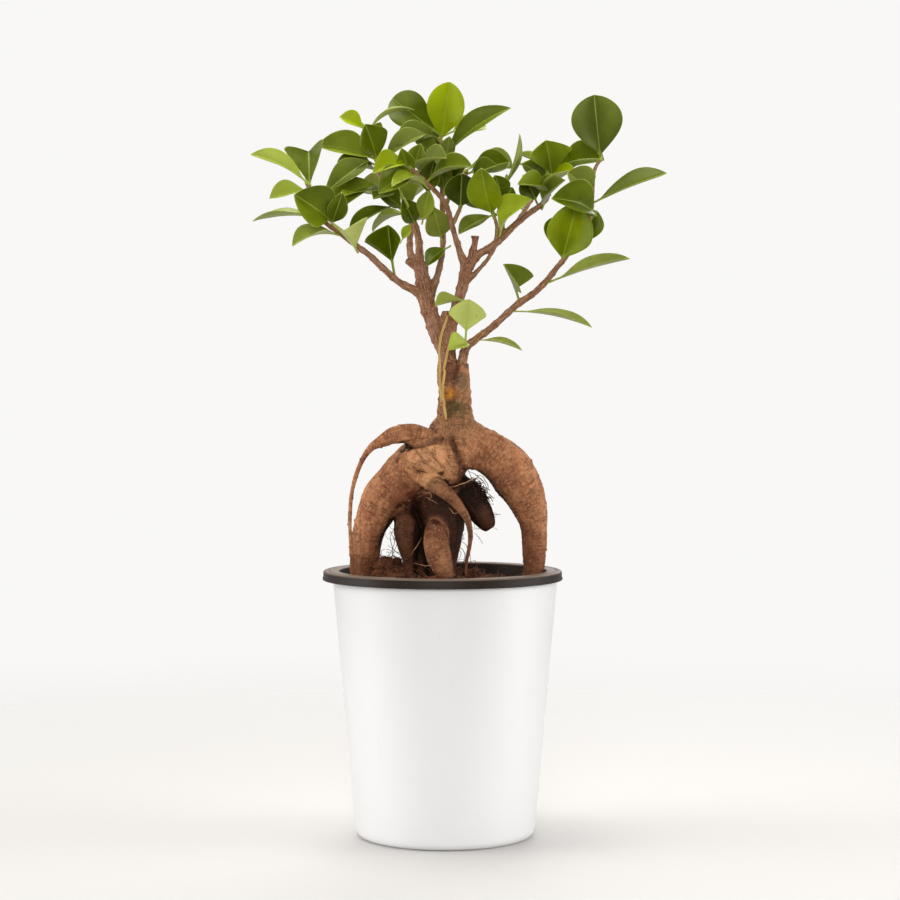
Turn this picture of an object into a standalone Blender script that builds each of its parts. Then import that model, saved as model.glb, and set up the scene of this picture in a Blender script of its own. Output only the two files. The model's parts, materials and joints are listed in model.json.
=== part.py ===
"""A grafted ficus bonsai in its plastic pots: swollen roots, grafted twigs and leaves, each its own solid."""
import math

import bmesh
import bpy
from mathutils import Vector
from mathutils.bvhtree import BVHTree

# Driving dimensions, in millimetres. The origin is the centre of the pot's flat base, +Z up.
MM = 0.001
GAP = 0.3                      # clearance kept between pieces that touch

COVER_HEIGHT = 131.0
COVER_TOP_RADIUS = 56.2
COVER_BASE_RADIUS = 44.6
COVER_WALL = 1.7
COVER_FLOOR = 2.4
COVER_CORNER = 4.6             # rounding under the base
COVER_INNER_CORNER = 3.0

RIM_RADIUS = 60.0
RIM_TOP = 133.2
RIM_SKIRT = 4.6                # height of the turned-down edge of the rim
RIM_THICKNESS = 1.6
RIM_EDGE = 1.0                 # rounding of the rim's outer edge
RIM_LIP = 0.8                  # bevel inside the rim
LINER_TOP_RADIUS = 52.8
LINER_BASE_RADIUS = 39.0
LINER_WALL = 1.0
LINER_FLOOR = COVER_FLOOR + GAP
LINER_CHAMFER = 2.4            # slanted edge around the liner's floor
LINER_INNER_CHAMFER = 2.0
DRAIN_RADIUS = 3.5
DRAIN_CIRCLE = 24.0
DRAIN_COUNT = 6
DRAIN_FIRST_ANGLE = 7.0        # degrees
DRAIN_CUT_DEPTH = 6.0

SOIL_LEVEL = 127.6
SOIL_RINGS = 7
SOIL_WALL_GAP = GAP + 0.2      # the soil has drawn back a little from the liner
SOIL_CHAMFER = 4.0             # slanted edge around the soil's floor
SOIL_CHAMFER_HEIGHT = 6.0
BED_GAP = GAP + 0.15           # clearance of the beds that the roots press into soil and grafts
PLANTING_SHIFT = -1.3          # the nursery pot hangs a little left of the cover pot's axis
POT_STEPS = 36

LEAF_THICKNESS = 0.6
PETIOLE_WIDTH = 1.3
FOOT_STEP = 0.1
# stations along a leaf, from the twig to the tip, with the share of the full width at each
LEAF_STATIONS = ((0.0, None), (0.12, None), (0.26, 0.46), (0.44, 0.84), (0.64, 1.0), (0.84, 0.78), (1.0, 0.12))

# Each root or branch runs through points (x, y, z, radius).
ROOT_PATHS = {
    "upper": {
        "trunk": ((3, 0, 186, 15.5), (5, 0, 196, 12.8), (6.2, 0, 204, 10.4), (6, 0, 213, 8.6),
                  (6, 0, 221, 8.2), (5.4, 0, 229, 8.3), (5.4, 0, 237, 7.8)),
        "belly": ((0, -3, 192, 12), (-8, -6, 185.5, 15.5), (-11, -7, 178, 13), (-11, -6, 172, 8)),
        "belly_right": ((1, -3, 190, 13), (3, -6, 181, 11.0), (3, -6, 173, 8)),
        "left_leg": ((-4, 0, 189, 14), (-14, 0, 182.5, 15.2), (-24, 1, 174.5, 13.0), (-32, 3, 164.5, 11.4),
                     (-36, 4, 154, 10.2), (-38, 5, 144, 8.9), (-39.8, 6, 131, 7.4), (-40.5, 6, 117, 4.8)),
    },
    "right": {
        "right_leg": ((5, 0, 201, 8.6), (11, -1, 198.5, 10.2), (19.5, -1, 194, 10.4), (29.6, 0, 187, 11.5),
                      (38, 1.5, 176, 11.3), (43.4, 3.5, 165, 9.2), (45.8, 4.6, 155, 6.9), (46.2, 5, 145, 6.1),
                      (45.6, 5, 132, 5.5), (44.6, 5.2, 125, 4.8), (43, 5.5, 117, 3.9)),
        "knob": ((23, 0, 193, 6.4), (28, -1, 198.8, 3.2)),
    },
    "under": {
        "core": ((-3, 3, 184, 13), (-3, 3, 172, 13.0), (-4, 0, 161, 11.8), (-4, -6, 150, 9.2),
                 (-1, -11, 140, 7.0), (3, -14, 130, 5.8), (5, -14, 117, 3.8)),
        "inner_left": ((-14, 5, 176, 8.0), (-20, 4, 166, 7.6), (-16, 0, 153, 7.2), (-13.6, -2, 142, 6.6),
                       (-15, -2, 132, 5.6), (-16, -2, 117, 3.6)),
        "tuber": ((6, 3, 178, 6), (12.5, 1, 171, 6.4), (18, -1, 163.5, 6.3), (21.6, -1.5, 157.5, 5.2),
                  (23.8, -1.5, 153.8, 2.6)),
        "back_leg": ((0, 8, 188, 13), (-2, 22, 177, 10.6), (-5, 32, 162, 8.8), (-6, 37, 147, 7.2),
                     (-6, 38.5, 131, 5.8), (-6, 38, 117, 4)),
    },
}
ROOT_VOXEL = 1.9
ROOT_SMOOTHING = 4
ROOT_TRIANGLES = {"upper": 1300, "right": 560, "under": 1000}

# Roots that keep a crease where they meet the fused body, joined to it afterwards.
CREASED_ROOTS = {
    "upper_left": ((3, -3, 201.6, 4.6), (-8, -8, 202.4, 4.4), (-17, -11, 202, 5.0), (-24.5, -12, 200.4, 4.5),
                   (-30.5, -12, 197.6, 3.0), (-35.5, -11.5, 194.6, 1.9), (-40, -11, 188, 1.35), (-43.4, -11, 179, 1.2),
                   (-45.4, -11, 169, 1.15), (-45.9, -11, 157, 1.1), (-45.3, -11, 144, 1.1), (-44.4, -10, 131, 1.0),
                   (-43.8, -10, 120, 0.9)),
    "front": ((-7, -15, 180, 5.4), (-2, -19, 176, 5.0), (4, -21.4, 171, 4.2), (9, -22, 166, 3.4),
              (12.6, -21.5, 160, 2.6), (14, -20, 152.5, 2.0), (13, -18, 144, 1.7), (11.6, -16, 135, 1.4),
              (11, -15, 120, 1.1)),
}

MAIN_GRAFT_PATHS = {
    "stem": ((3.6, 0, 231, 4.8), (2.4, 0, 240, 4.3), (2.4, 0, 249, 3.9), (5.2, 0, 259, 3.1), (8.0, 0, 268, 2.6),
             (10.8, 0, 278, 3.0), (12.2, 0, 286, 3.2)),
    "cut_spur": ((2.6, -0.5, 249, 3.2), (1.2, -1, 257, 2.7), (1.4, -1, 262.5, 1.3)),
    "left_limb": ((1.6, 0, 243, 3.6), (-2.2, 0.5, 253, 3.7), (-6.8, 1, 268, 3.9), (-9.8, 3, 278, 3.8),
                  (-11.6, 4, 287, 3.2)),
    "left_fork": ((-11.6, 4, 285, 2.4), (-11.8, 5, 297, 1.8), (-14.4, 6, 307, 1.6), (-18.5, 7, 312, 1.4),
                  (-26, 7, 321, 1.3), (-31, 8, 330, 1.2), (-33.5, 8, 339, 1.1), (-36.5, 8.5, 348, 1.0),
                  (-40, 9, 355.5, 0.8)),
    "back_fork": ((-12, 4, 284, 2.2), (-16, 11, 291, 1.8), (-16.6, 16, 298, 1.6), (-15.8, 22, 307, 1.4),
                  (-17, 29, 313, 1.2), (-18, 35, 319, 0.9)),
    "left_spur": ((-12, 4, 284, 2.5), (-17.4, 1, 288, 1.9)),
    "side_shoot": ((-9, 2, 270, 2.6), (-14, -1, 273, 2.2), (-21.4, -5, 276.6, 1.8), (-29, -10, 283, 1.7),
                   (-36, -15, 289.6, 1.5), (-42, -18, 294, 1.4), (-49.4, -21, 299.4, 1.3), (-57.4, -24, 305.4, 1.2),
                   (-62.4, -26, 314, 1.0), (-66.2, -26, 324, 0.85)),
    "tall_shoot": ((-7, 1.5, 268, 2.4), (-2.6, 5, 280.5, 1.7), (-0.5, 8, 290, 1.5), (0.2, 11, 300, 1.4),
                   (-0.3, 12, 320, 1.2), (-0.7, 12, 338, 1.05), (-0.9, 12, 352.5, 0.85)),
    "tall_back": ((-0.2, 12, 312, 1.2), (4, 20, 322, 1.1), (9, 30, 330, 1.0), (11, 36, 335, 0.8)),
    "middle_left": ((11.4, 0, 284, 2.2), (8.0, -2, 294, 1.6), (4.6, -5, 305, 1.35), (2.2, -8, 314, 1.25),
                    (-1.4, -10, 319, 1.2), (-6.4, -13, 324, 1.1), (-12, -15, 329, 0.95), (-15.4, -16, 332.6, 0.8)),
    "middle_back": ((4.6, -5, 304.5, 1.2), (8.8, -3, 314, 1.0), (11, 1, 325, 0.95), (12, 4, 332, 0.8)),
    "middle_spur": ((13.0, 0, 284, 2.4), (14.8, 0, 291, 1.9), (16, 0, 296.5, 1.6), (16.2, 0, 300, 1.9)),
    "right_limb": ((12.8, 0, 284.5, 2.8), (17.6, 1, 290.4, 2.1), (24, 2, 294.4, 1.9), (29.4, 2, 299, 1.8),
                   (36, 2, 305.4, 1.6), (43.6, 2, 311.6, 1.5), (49, 2, 315.4, 1.35), (52.6, 2, 320, 1.2),
                   (55, 3, 328.5, 1.0), (56.4, 4, 333.5, 0.8)),
    "right_lower": ((12.6, -1, 277.5, 1.5), (18.8, -1.5, 284, 1.05), (22.6, 0, 288.6, 1.0), (26.6, 1.5, 295.6, 1.1)),
    "right_back": ((36, 2, 305, 1.3), (41, 12, 313, 1.1), (45.4, 22, 320, 1.0), (47.4, 27, 323, 0.8)),
    "short_up": ((26.5, 2, 296.4, 1.3), (27.2, 1.5, 304, 1.0), (25.4, 1, 311, 0.8)),
    "thin_up": ((29.4, 2, 299, 1.3), (30.4, 3.5, 312, 1.0), (31.4, 4, 322, 0.95), (32, 4, 329, 0.8)),
}
RIGHT_GRAFT_PATHS = {
    "right_stem": ((8.4, -1.5, 233.5, 2.6), (11.2, -2, 243, 2.2), (16, -4, 249, 1.85), (24, -6, 255.6, 1.75),
                   (36, -10, 266.8, 1.7), (44, -13, 272.6, 1.6), (50.6, -15, 279, 1.5), (55.6, -17, 285, 1.4),
                   (59.4, -18, 288.4, 1.35), (63.4, -18, 293, 1.25), (68.8, -17, 301, 1.2), (73, -15, 310, 1.1),
                   (74, -13, 321.4, 1.0), (74.8, -12, 331, 0.95), (77.8, -12, 337, 0.8)),
}
TWIG_VOXEL = 0.6
TWIG_SMOOTHING = 1
MAIN_GRAFT_TRIANGLES = 1900
RIGHT_GRAFT_TRIANGLES = 480

# Raffia strands left on the graft: centre line points and the strand's radius.
RAFFIA_RADIUS = 0.45
RAFFIA_PATHS = {
    "raffia_tie_1": ((2.6, -4.9, 260), (0.4, -4.9, 255), (-1.6, -5.0, 248), (-1.8, -6.2, 240), (-1.4, -7.9, 232),
                     (-0.9, -7.7, 224), (-0.9, -7.9, 217)),
    "raffia_tie_2": ((3.4, -5.4, 246), (2.2, -7.8, 240), (0.8, -8.9, 233), (0.2, -8.6, 225), (0.8, -8.9, 216),
                     (2.2, -10.2, 208.5)),
}

# Leaves, grouped by the shoot that bears them. Each has its place on the twig, its tip, its width, which way
# the upper face looks (tilt from straight up towards the front, then lean to the right, in degrees), the
# fold of its halves along the midrib in degrees, and the rise of its arch as a share of its length.
LEAVES = {
    "left_end": (
        ((-66.3, -26, 325), (-94, -30, 340), 16, 35, 0, 16, 0.12),
        ((-64.7, -26, 320.6), (-66.8, -9, 344), 20, 118, 0, 30, 0.02),
    ),
    "left_shoot": (
        ((-57.8, -24.3, 306), (-64, -37, 325), 22, 80, -14, 10, 0.10),
        ((-58.8, -24.5, 307.6), (-93, -20, 307), 14, 14, 0, 10, 0.12),
        ((-55.6, -23.5, 304), (-73, -43, 295.4), 14, 48, 0, 16, 0.12),
        ((-42.4, -18, 294.2), (-46, -38, 304.6), 20, -60, 0, 26, 0.06),
        ((-63, -26, 316), (-45, -8, 337), 12, 70, 10, 10, 0.08),
    ),
    "left_fork": (
        ((-27, 7, 322.5), (-59, -4, 312), 15, 42, 0, 14, 0.15),
        ((-25, 7, 320), (-51, -15, 319), 15, 58, 0, 12, 0.16),
        ((-22, 7, 316.5), (-46, -9, 303), 12, 36, 0, 14, 0.12),
        ((-32.6, 8, 336), (-48, -10, 328), 14, 40, 0, 14, 0.12),
        ((-33.5, 8, 339), (-61, 1, 346), 21, 55, 0, 8, 0.12),
        ((-34, 8, 341), (-37, -4, 358), 16, 95, 0, 14, 0.06),
        ((-40, 9, 355.5), (-52.5, 6, 362.5), 10, 60, 0, 14, 0.10),
        ((-38, 9, 352), (-14, 6, 363), 10, 6, 0, 10, 0.16),
        ((-16.8, 6.5, 310), (-25, -9, 320), 14, -35, 0, 22, 0.06),
        ((-17.4, 1, 288.5), (-31, -6, 304), 16, 85, -10, 10, 0.06),
    ),
    "top": (
        ((-0.9, 12, 351), (-27, 20, 368), 18, 80, -10, 8, 0.08),
        ((-0.9, 12, 352.5), (3, 3, 377), 19.5, 95, 0, 8, 0.06),
        ((-0.8, 12, 346), (-24, 0, 352), 15, 62, 0, 12, 0.10),
        ((-0.7, 12, 338), (34, 1, 363), 17, 48, 0, 10, 0.12),
        ((-0.9, 12, 350), (22, 26, 357), 16, 55, 0, 10, 0.10),
    ),
    "middle_left": (
        ((-8, -13.6, 325.6), (14, -29, 334), 13, 35, 0, 10, 0.12),
        ((-15.4, -16, 332.6), (-30.6, -30, 339), 12, 50, 0, 26, 0.10),
        ((-14, -15.6, 331), (-29.6, -34, 326), 14, 52, 0, 12, 0.12),
        ((-14.6, -15.8, 332), (-7, -31, 340), 14, 72, 0, 12, 0.10),
    ),
    "middle_back": (
        ((12, 4, 332), (33, 12, 339), 15, 60, 0, 10, 0.10),
        ((8.8, -3, 314), (13.6, -3, 331), 16, 100, 0, 8, 0.04),
    ),
    "right_limb": (
        ((25.2, 0.4, 309.8), (21.6, -19, 332), 17, 84, -15, 10, 0.08),
        ((25.8, 1, 309), (6.5, -16, 304), 12, 30, 0, 14, 0.12),
        ((28.4, 2, 298.4), (42, -19, 317), 16, 58, -14, 24, 0.10),
        ((32, 4, 328), (38.5, 2, 350), 12, 30, 62, 10, 0.08),
        ((31.4, 4, 322), (44.5, 6, 325.5), 11, 60, 0, 14, 0.10),
        ((51.2, 2, 317.4), (53, -24, 327), 23, -52, 0, 24, 0.06),
        ((55, 3, 328.5), (50, -4, 347), 20, 98, 0, 24, 0.02),
        ((56.4, 4, 333), (80, -8, 337), 15, 45, 0, 10, 0.12),
    ),
    "right_shoot": (
        ((73.4, -14, 315.4), (62.4, -30, 329), 16, 60, 0, 12, 0.10),
        ((72.6, -15.2, 309.4), (52.6, -24, 317.6), 15, 58, 0, 12, 0.10),
        ((56.6, -17.4, 285.8), (65.4, -32, 312), 22.5, 92, 0, 8, 0.08),
        ((59.4, -18, 288.4), (53.4, -8, 309), 12, 92, 0, 10, 0.06),
        ((69.4, -16.6, 302), (82, -5, 313), 14, 86, 10, 10, 0.08),
        ((73.6, -14, 316), (110.5, -18, 331), 15, 32, 0, 12, 0.12),
        ((77.8, -12, 337), (74.4, -17, 368), 25, 95, 0, 6, 0.06),
        ((48.6, -14.6, 277), (91, -24, 288), 15, 26, 0, 10, 0.10),
        ((32, -8.6, 263), (73, -24, 256), 14, 10, 0, 10, 0.12),
        ((37, -10.4, 267.6), (29.2, -18, 286.6), 15, 60, 20, 22, 0.06),
        ((11.6, -2.4, 243), (12, -18, 268), 18, 84, 0, 10, 0.08),
        ((15, -3.8, 248), (39, -16, 242.5), 9, 12, 0, 12, 0.12),
    ),
    "back": (
        ((-18, 35, 319), (-44, 46, 326), 18, -40, 0, 12, 0.10),
        ((-18, 35, 319), (-6, 61, 332), 17, -62, 0, 12, 0.08),
        ((11, 36, 335), (36, 52, 338), 18, -30, 0, 12, 0.10),
        ((47.4, 27, 323), (60, 50, 333), 17, -40, 0, 12, 0.10),
    ),
}


def startScene():
    """Empties the scene and makes the part's collections."""
    for item in list(bpy.data.objects):
        bpy.data.objects.remove(item)
    groups = {}
    for name in ("bonsai_in_pot", "cutters"):
        groups[name] = bpy.data.collections.new(name)
        bpy.context.scene.collection.children.link(groups[name])
    return groups["bonsai_in_pot"], groups["cutters"]


def finish(name, colour, roughness):
    """A Principled material in one plain colour."""
    material = bpy.data.materials.new(name)
    material.use_nodes = True
    shader = material.node_tree.nodes["Principled BSDF"]
    shader.inputs["Base Color"].default_value = (*colour, 1.0)
    shader.inputs["Roughness"].default_value = roughness
    shader.inputs["Metallic"].default_value = 0.0
    return material


def addPiece(name, mesh, material, collection):
    """A named object holding a mesh and its one material."""
    piece = bpy.data.objects.new(name, mesh)
    collection.objects.link(piece)
    mesh.materials.clear()
    mesh.materials.append(material)
    return piece


def shadeRound(mesh, angle=40.0):
    mesh.shade_smooth()
    mesh.set_sharp_from_angle(angle=math.radians(angle))


def evaluatedMesh(item):
    """The object's mesh with its modifiers, or a curve's surface with its caps welded, as a new mesh."""
    bpy.context.view_layer.update()
    evaluated = item.evaluated_get(bpy.context.evaluated_depsgraph_get())
    mesh = bpy.data.meshes.new_from_object(evaluated)
    work = bmesh.new()
    work.from_mesh(mesh)
    bmesh.ops.remove_doubles(work, verts=work.verts, dist=0.00001)
    work.to_mesh(mesh)
    work.free()
    return mesh


def turned(name, profile, material, collection):
    """A closed solid of revolution. The profile runs from the inner floor's centre, up the inside,
    over the lip, down the outside and back to the axis."""
    work = bmesh.new()
    verts = [work.verts.new((radius * MM, 0.0, height * MM)) for radius, height in profile]
    for start, end in zip(verts, verts[1:]):
        work.edges.new((start, end))
    mesh = bpy.data.meshes.new(name)
    work.to_mesh(mesh)
    work.free()
    piece = addPiece(name, mesh, material, collection)
    screw = piece.modifiers.new("turn", "SCREW")
    screw.steps = POT_STEPS
    screw.render_steps = POT_STEPS
    screw.use_merge_vertices = True
    screw.merge_threshold = 0.00005
    screw.use_smooth_shade = True
    return piece


def arcPoints(centre, radius, startAngle, endAngle, count):
    """Points on an arc of the turned profile, with angles in degrees."""
    points = []
    for index in range(count + 1):
        angle = math.radians(startAngle + (endAngle - startAngle) * index / count)
        points.append((centre[0] + radius * math.cos(angle), centre[1] + radius * math.sin(angle)))
    return points


def coverRadius(height):
    """Outer radius of the cover pot at a height."""
    return COVER_BASE_RADIUS + (COVER_TOP_RADIUS - COVER_BASE_RADIUS) * height / COVER_HEIGHT


def linerRadius(height):
    """Outer radius of the nursery pot's wall at a height."""
    share = (height - LINER_FLOOR) / (RIM_TOP - LINER_FLOOR)
    return LINER_BASE_RADIUS + (LINER_TOP_RADIUS - LINER_BASE_RADIUS) * share


def makeCoverPot(material, collection):
    corner = COVER_CORNER
    innerCorner = COVER_INNER_CORNER
    innerCornerCentre = (coverRadius(COVER_FLOOR) - COVER_WALL - innerCorner, COVER_FLOOR + innerCorner)
    cornerCentre = (coverRadius(corner) - corner, corner)
    lip = COVER_WALL / 2
    lipCentre = (COVER_TOP_RADIUS - lip, COVER_HEIGHT - lip)
    profile = [(0.0, COVER_FLOOR)]
    profile += arcPoints(innerCornerCentre, innerCorner, -90, 0, 3)
    profile += arcPoints(lipCentre, lip, 180, 0, 4)
    profile += arcPoints(cornerCentre, corner, 0, -90, 5)
    profile += [(0.0, 0.0)]
    return turned("cover_pot", profile, material, collection)


def makeNurseryPot(material, collection, cutters):
    under = RIM_TOP - RIM_THICKNESS
    skirtInner = RIM_RADIUS - RIM_THICKNESS
    floor = LINER_FLOOR + LINER_WALL
    innerBase = LINER_BASE_RADIUS - LINER_WALL
    innerTop = LINER_TOP_RADIUS - LINER_WALL
    profile = [
        (0.0, floor),
        (innerBase - LINER_INNER_CHAMFER, floor),
        (innerBase, floor + LINER_INNER_CHAMFER),
        (innerTop, RIM_TOP - RIM_LIP),
        (innerTop + RIM_LIP, RIM_TOP),
    ]
    profile += arcPoints((RIM_RADIUS - RIM_EDGE, RIM_TOP - RIM_EDGE), RIM_EDGE, 90, 0, 3)
    profile += [
        (RIM_RADIUS, RIM_TOP - RIM_SKIRT),
        (skirtInner, RIM_TOP - RIM_SKIRT),
        (skirtInner, under),
        (linerRadius(under), under),
        (LINER_BASE_RADIUS, LINER_FLOOR + LINER_CHAMFER),
        (LINER_BASE_RADIUS - LINER_CHAMFER, LINER_FLOOR),
        (0.0, LINER_FLOOR),
    ]
    pot = turned("nursery_pot", profile, material, collection)
    for index in range(DRAIN_COUNT):
        angle = math.radians(DRAIN_FIRST_ANGLE + 360.0 * index / DRAIN_COUNT)
        place = (DRAIN_CIRCLE * MM * math.cos(angle), DRAIN_CIRCLE * MM * math.sin(angle), LINER_FLOOR * MM)
        bpy.ops.mesh.primitive_cylinder_add(vertices=12, radius=DRAIN_RADIUS * MM,
                                            depth=DRAIN_CUT_DEPTH * MM, location=place)
        cutter = bpy.context.object
        cutter.name = "drain_hole_%d" % (index + 1)
        moveToCutters(cutter, cutters)
        subtract(pot, cutter)
    return pot


def moveToCutters(item, cutters):
    for collection in list(item.users_collection):
        collection.objects.unlink(item)
    cutters.objects.link(item)
    item.hide_render = True
    item.display_type = "WIRE"


def subtract(piece, cutter):
    modifier = piece.modifiers.new("cut_" + cutter.name, "BOOLEAN")
    modifier.operation = "DIFFERENCE"
    modifier.solver = "EXACT"
    modifier.object = cutter


def tubeMesh(name, points, resolution=5, sides=3):
    """A tube through points (x, y, z, radius) with capped ends, as a mesh."""
    curve = bpy.data.curves.new(name, "CURVE")
    curve.dimensions = "3D"
    curve.resolution_u = resolution
    curve.bevel_depth = MM
    curve.bevel_resolution = sides
    curve.use_fill_caps = True
    spline = curve.splines.new("BEZIER")
    spline.bezier_points.add(len(points) - 1)
    for knot, (x, y, z, radius) in zip(spline.bezier_points, points):
        knot.co = (x * MM, y * MM, z * MM)
        knot.radius = radius
        knot.handle_left_type = "AUTO"
        knot.handle_right_type = "AUTO"
    guide = bpy.data.objects.new(name, curve)
    bpy.context.scene.collection.objects.link(guide)
    mesh = evaluatedMesh(guide)
    bpy.data.objects.remove(guide)
    bpy.data.curves.remove(curve)
    return mesh


def fusedMesh(name, paths, voxel, smoothing, triangles):
    """Tubes grown together into one skin, then thinned to a number of triangles."""
    work = bmesh.new()
    for label, points in paths.items():
        mesh = tubeMesh(label, points)
        work.from_mesh(mesh)
        bpy.data.meshes.remove(mesh)
    joined = bpy.data.meshes.new(name)
    work.to_mesh(joined)
    work.free()
    guide = bpy.data.objects.new(name + "_guide", joined)
    bpy.context.scene.collection.objects.link(guide)
    remesh = guide.modifiers.new("grow_together", "REMESH")
    remesh.mode = "VOXEL"
    remesh.voxel_size = voxel * MM
    if smoothing:
        smooth = guide.modifiers.new("soften", "SMOOTH")
        smooth.factor = 0.5
        smooth.iterations = smoothing
    fine = evaluatedMesh(guide)
    guide.modifiers.clear()
    guide.data = fine
    fine.calc_loop_triangles()
    thin = guide.modifiers.new("thin", "DECIMATE")
    thin.ratio = min(1.0, triangles / len(fine.loop_triangles))
    mesh = evaluatedMesh(guide)
    bpy.data.objects.remove(guide)
    return mesh


def largerCopy(item, gap, cutters):
    """A copy of a piece, pushed outwards by the gap, to cut its bed into a neighbour."""
    mesh = evaluatedMesh(item)
    work = bmesh.new()
    work.from_mesh(mesh)
    work.normal_update()
    moves = [(vert, vert.normal * gap * MM) for vert in work.verts]
    for vert, move in moves:
        vert.co += move
    work.to_mesh(mesh)
    work.free()
    cutter = bpy.data.objects.new(item.name + "_bed", mesh)
    cutters.objects.link(cutter)
    cutter.hide_render = True
    cutter.display_type = "WIRE"
    return cutter


def unite(piece, label, mesh, collection):
    """Joins a mesh to a piece, keeping the crease between them."""
    addition = bpy.data.objects.new(label, mesh)
    collection.objects.link(addition)
    union = piece.modifiers.new("join_" + label, "BOOLEAN")
    union.operation = "UNION"
    union.solver = "EXACT"
    union.object = addition
    piece.data = evaluatedMesh(piece)
    piece.modifiers.clear()
    bpy.data.objects.remove(addition)


def makeRootstock(material, collection):
    """Three swollen masses that meet in deep creases, with the thinner roots grown out of them."""
    masses = {label: fusedMesh(label, paths, ROOT_VOXEL, ROOT_SMOOTHING, ROOT_TRIANGLES[label])
              for label, paths in ROOT_PATHS.items()}
    rootstock = addPiece("rootstock", masses.pop("upper"), material, collection)
    for label, mesh in masses.items():
        unite(rootstock, label, mesh, collection)
    for label, points in CREASED_ROOTS.items():
        unite(rootstock, label, tubeMesh(label, points, resolution=2, sides=2), collection)
    shadeRound(rootstock.data, 60)
    return rootstock


def soilHeight(x, y):
    """Height of the soil's surface, mounded against the roots and lower by the wall."""
    mound = 2.6 * math.exp(-((x + 26) ** 2 + (y + 10) ** 2) / 420.0)
    mound += 1.6 * math.exp(-((x - 6) ** 2 + (y + 18) ** 2) / 500.0)
    dip = -1.2 * math.exp(-((x - 30) ** 2 + (y - 18) ** 2) / 300.0)
    ripple = 0.35 * math.sin(0.31 * x + 1.0) * math.cos(0.27 * y)
    return SOIL_LEVEL + mound + dip + ripple


def makeSoil(material, collection, beds):
    """The soil is a turned plug that fills the liner, with its top raised and dimpled."""
    inset = LINER_WALL + SOIL_WALL_GAP
    floor = LINER_FLOOR + LINER_WALL + GAP
    edgeRadius = linerRadius(SOIL_LEVEL) - inset
    lowEdge = floor + SOIL_CHAMFER_HEIGHT
    profile = [(edgeRadius * index / SOIL_RINGS, SOIL_LEVEL) for index in range(SOIL_RINGS + 1)]
    profile += [(linerRadius(lowEdge) - inset, lowEdge), (linerRadius(floor) - inset - SOIL_CHAMFER, floor),
                (0.0, floor)]
    soil = turned("soil", profile, material, collection)
    mesh = evaluatedMesh(soil)
    soil.modifiers.clear()
    soil.data = mesh
    for vert in mesh.vertices:
        if abs(vert.co.z - SOIL_LEVEL * MM) < 0.1 * MM:
            vert.co.z = soilHeight(vert.co.x / MM, vert.co.y / MM) * MM
    for bed in beds:
        subtract(soil, bed)
    return soil


def barkTree(items):
    """A search tree over the surfaces of all the wood."""
    work = bmesh.new()
    for item in items:
        mesh = evaluatedMesh(item)
        work.from_mesh(mesh)
        bpy.data.meshes.remove(mesh)
    tree = BVHTree.FromBMesh(work)
    work.free()
    return tree


def barkClearance(point, wood):
    """Distance from a point to the nearest bark in millimetres, negative inside the wood."""
    nearest, normal, _, distance = wood.find_nearest(point * MM)
    inside = (point * MM - nearest).dot(normal) < 0.0
    return -distance / MM if inside else distance / MM


def makeLeaf(name, row, wood, material, collection):
    """A blade on its short stalk: a grid three points wide, bent along the midrib, given its thickness.
    Its foot starts inside the twig and slides out along the leaf until it stands clear of the bark."""
    origin, tip, width, tilt, lean, fold, arch = row
    start = Vector(origin)
    length = (Vector(tip) - start).length
    along = (Vector(tip) - start) / length
    tiltAngle = math.radians(tilt)
    leanAngle = math.radians(lean)
    face = Vector((math.sin(leanAngle), -math.sin(tiltAngle) * math.cos(leanAngle),
                   math.cos(tiltAngle) * math.cos(leanAngle)))
    face -= along * face.dot(along)
    face.normalize()
    side = along.cross(face)
    corners = (side * PETIOLE_WIDTH / 2, -side * PETIOLE_WIDTH / 2)
    while min(barkClearance(start + corner, wood) for corner in corners) < GAP + LEAF_THICKNESS / 2:
        start += along * FOOT_STEP
        length -= FOOT_STEP
    work = bmesh.new()
    last = len(LEAF_STATIONS) - 1
    bmesh.ops.create_grid(work, x_segments=2, y_segments=last, size=1.0)
    for vert in work.verts:
        across = vert.co.x
        station, share = LEAF_STATIONS[round((vert.co.y + 1.0) / 2.0 * last)]
        half = PETIOLE_WIDTH / 2 if share is None else width * share / 2
        rise = 4.0 * arch * station * (1.0 - station) * length
        rise += abs(across) * (0.0 if share is None else half * math.tan(math.radians(fold)))
        vert.co = (start + along * station * length + side * across * half + face * rise) * MM
    bmesh.ops.recalc_face_normals(work, faces=work.faces)
    mesh = bpy.data.meshes.new(name)
    work.to_mesh(mesh)
    work.free()
    mesh.shade_smooth()
    leaf = addPiece(name, mesh, material, collection)
    wall = leaf.modifiers.new("thickness", "SOLIDIFY")
    wall.thickness = LEAF_THICKNESS * MM
    wall.offset = 0.0
    return leaf


def makeRaffia(name, points, material, collection):
    mesh = tubeMesh(name, [(*point, RAFFIA_RADIUS) for point in points], resolution=2, sides=1)
    return addPiece(name, mesh, material, collection)


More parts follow.
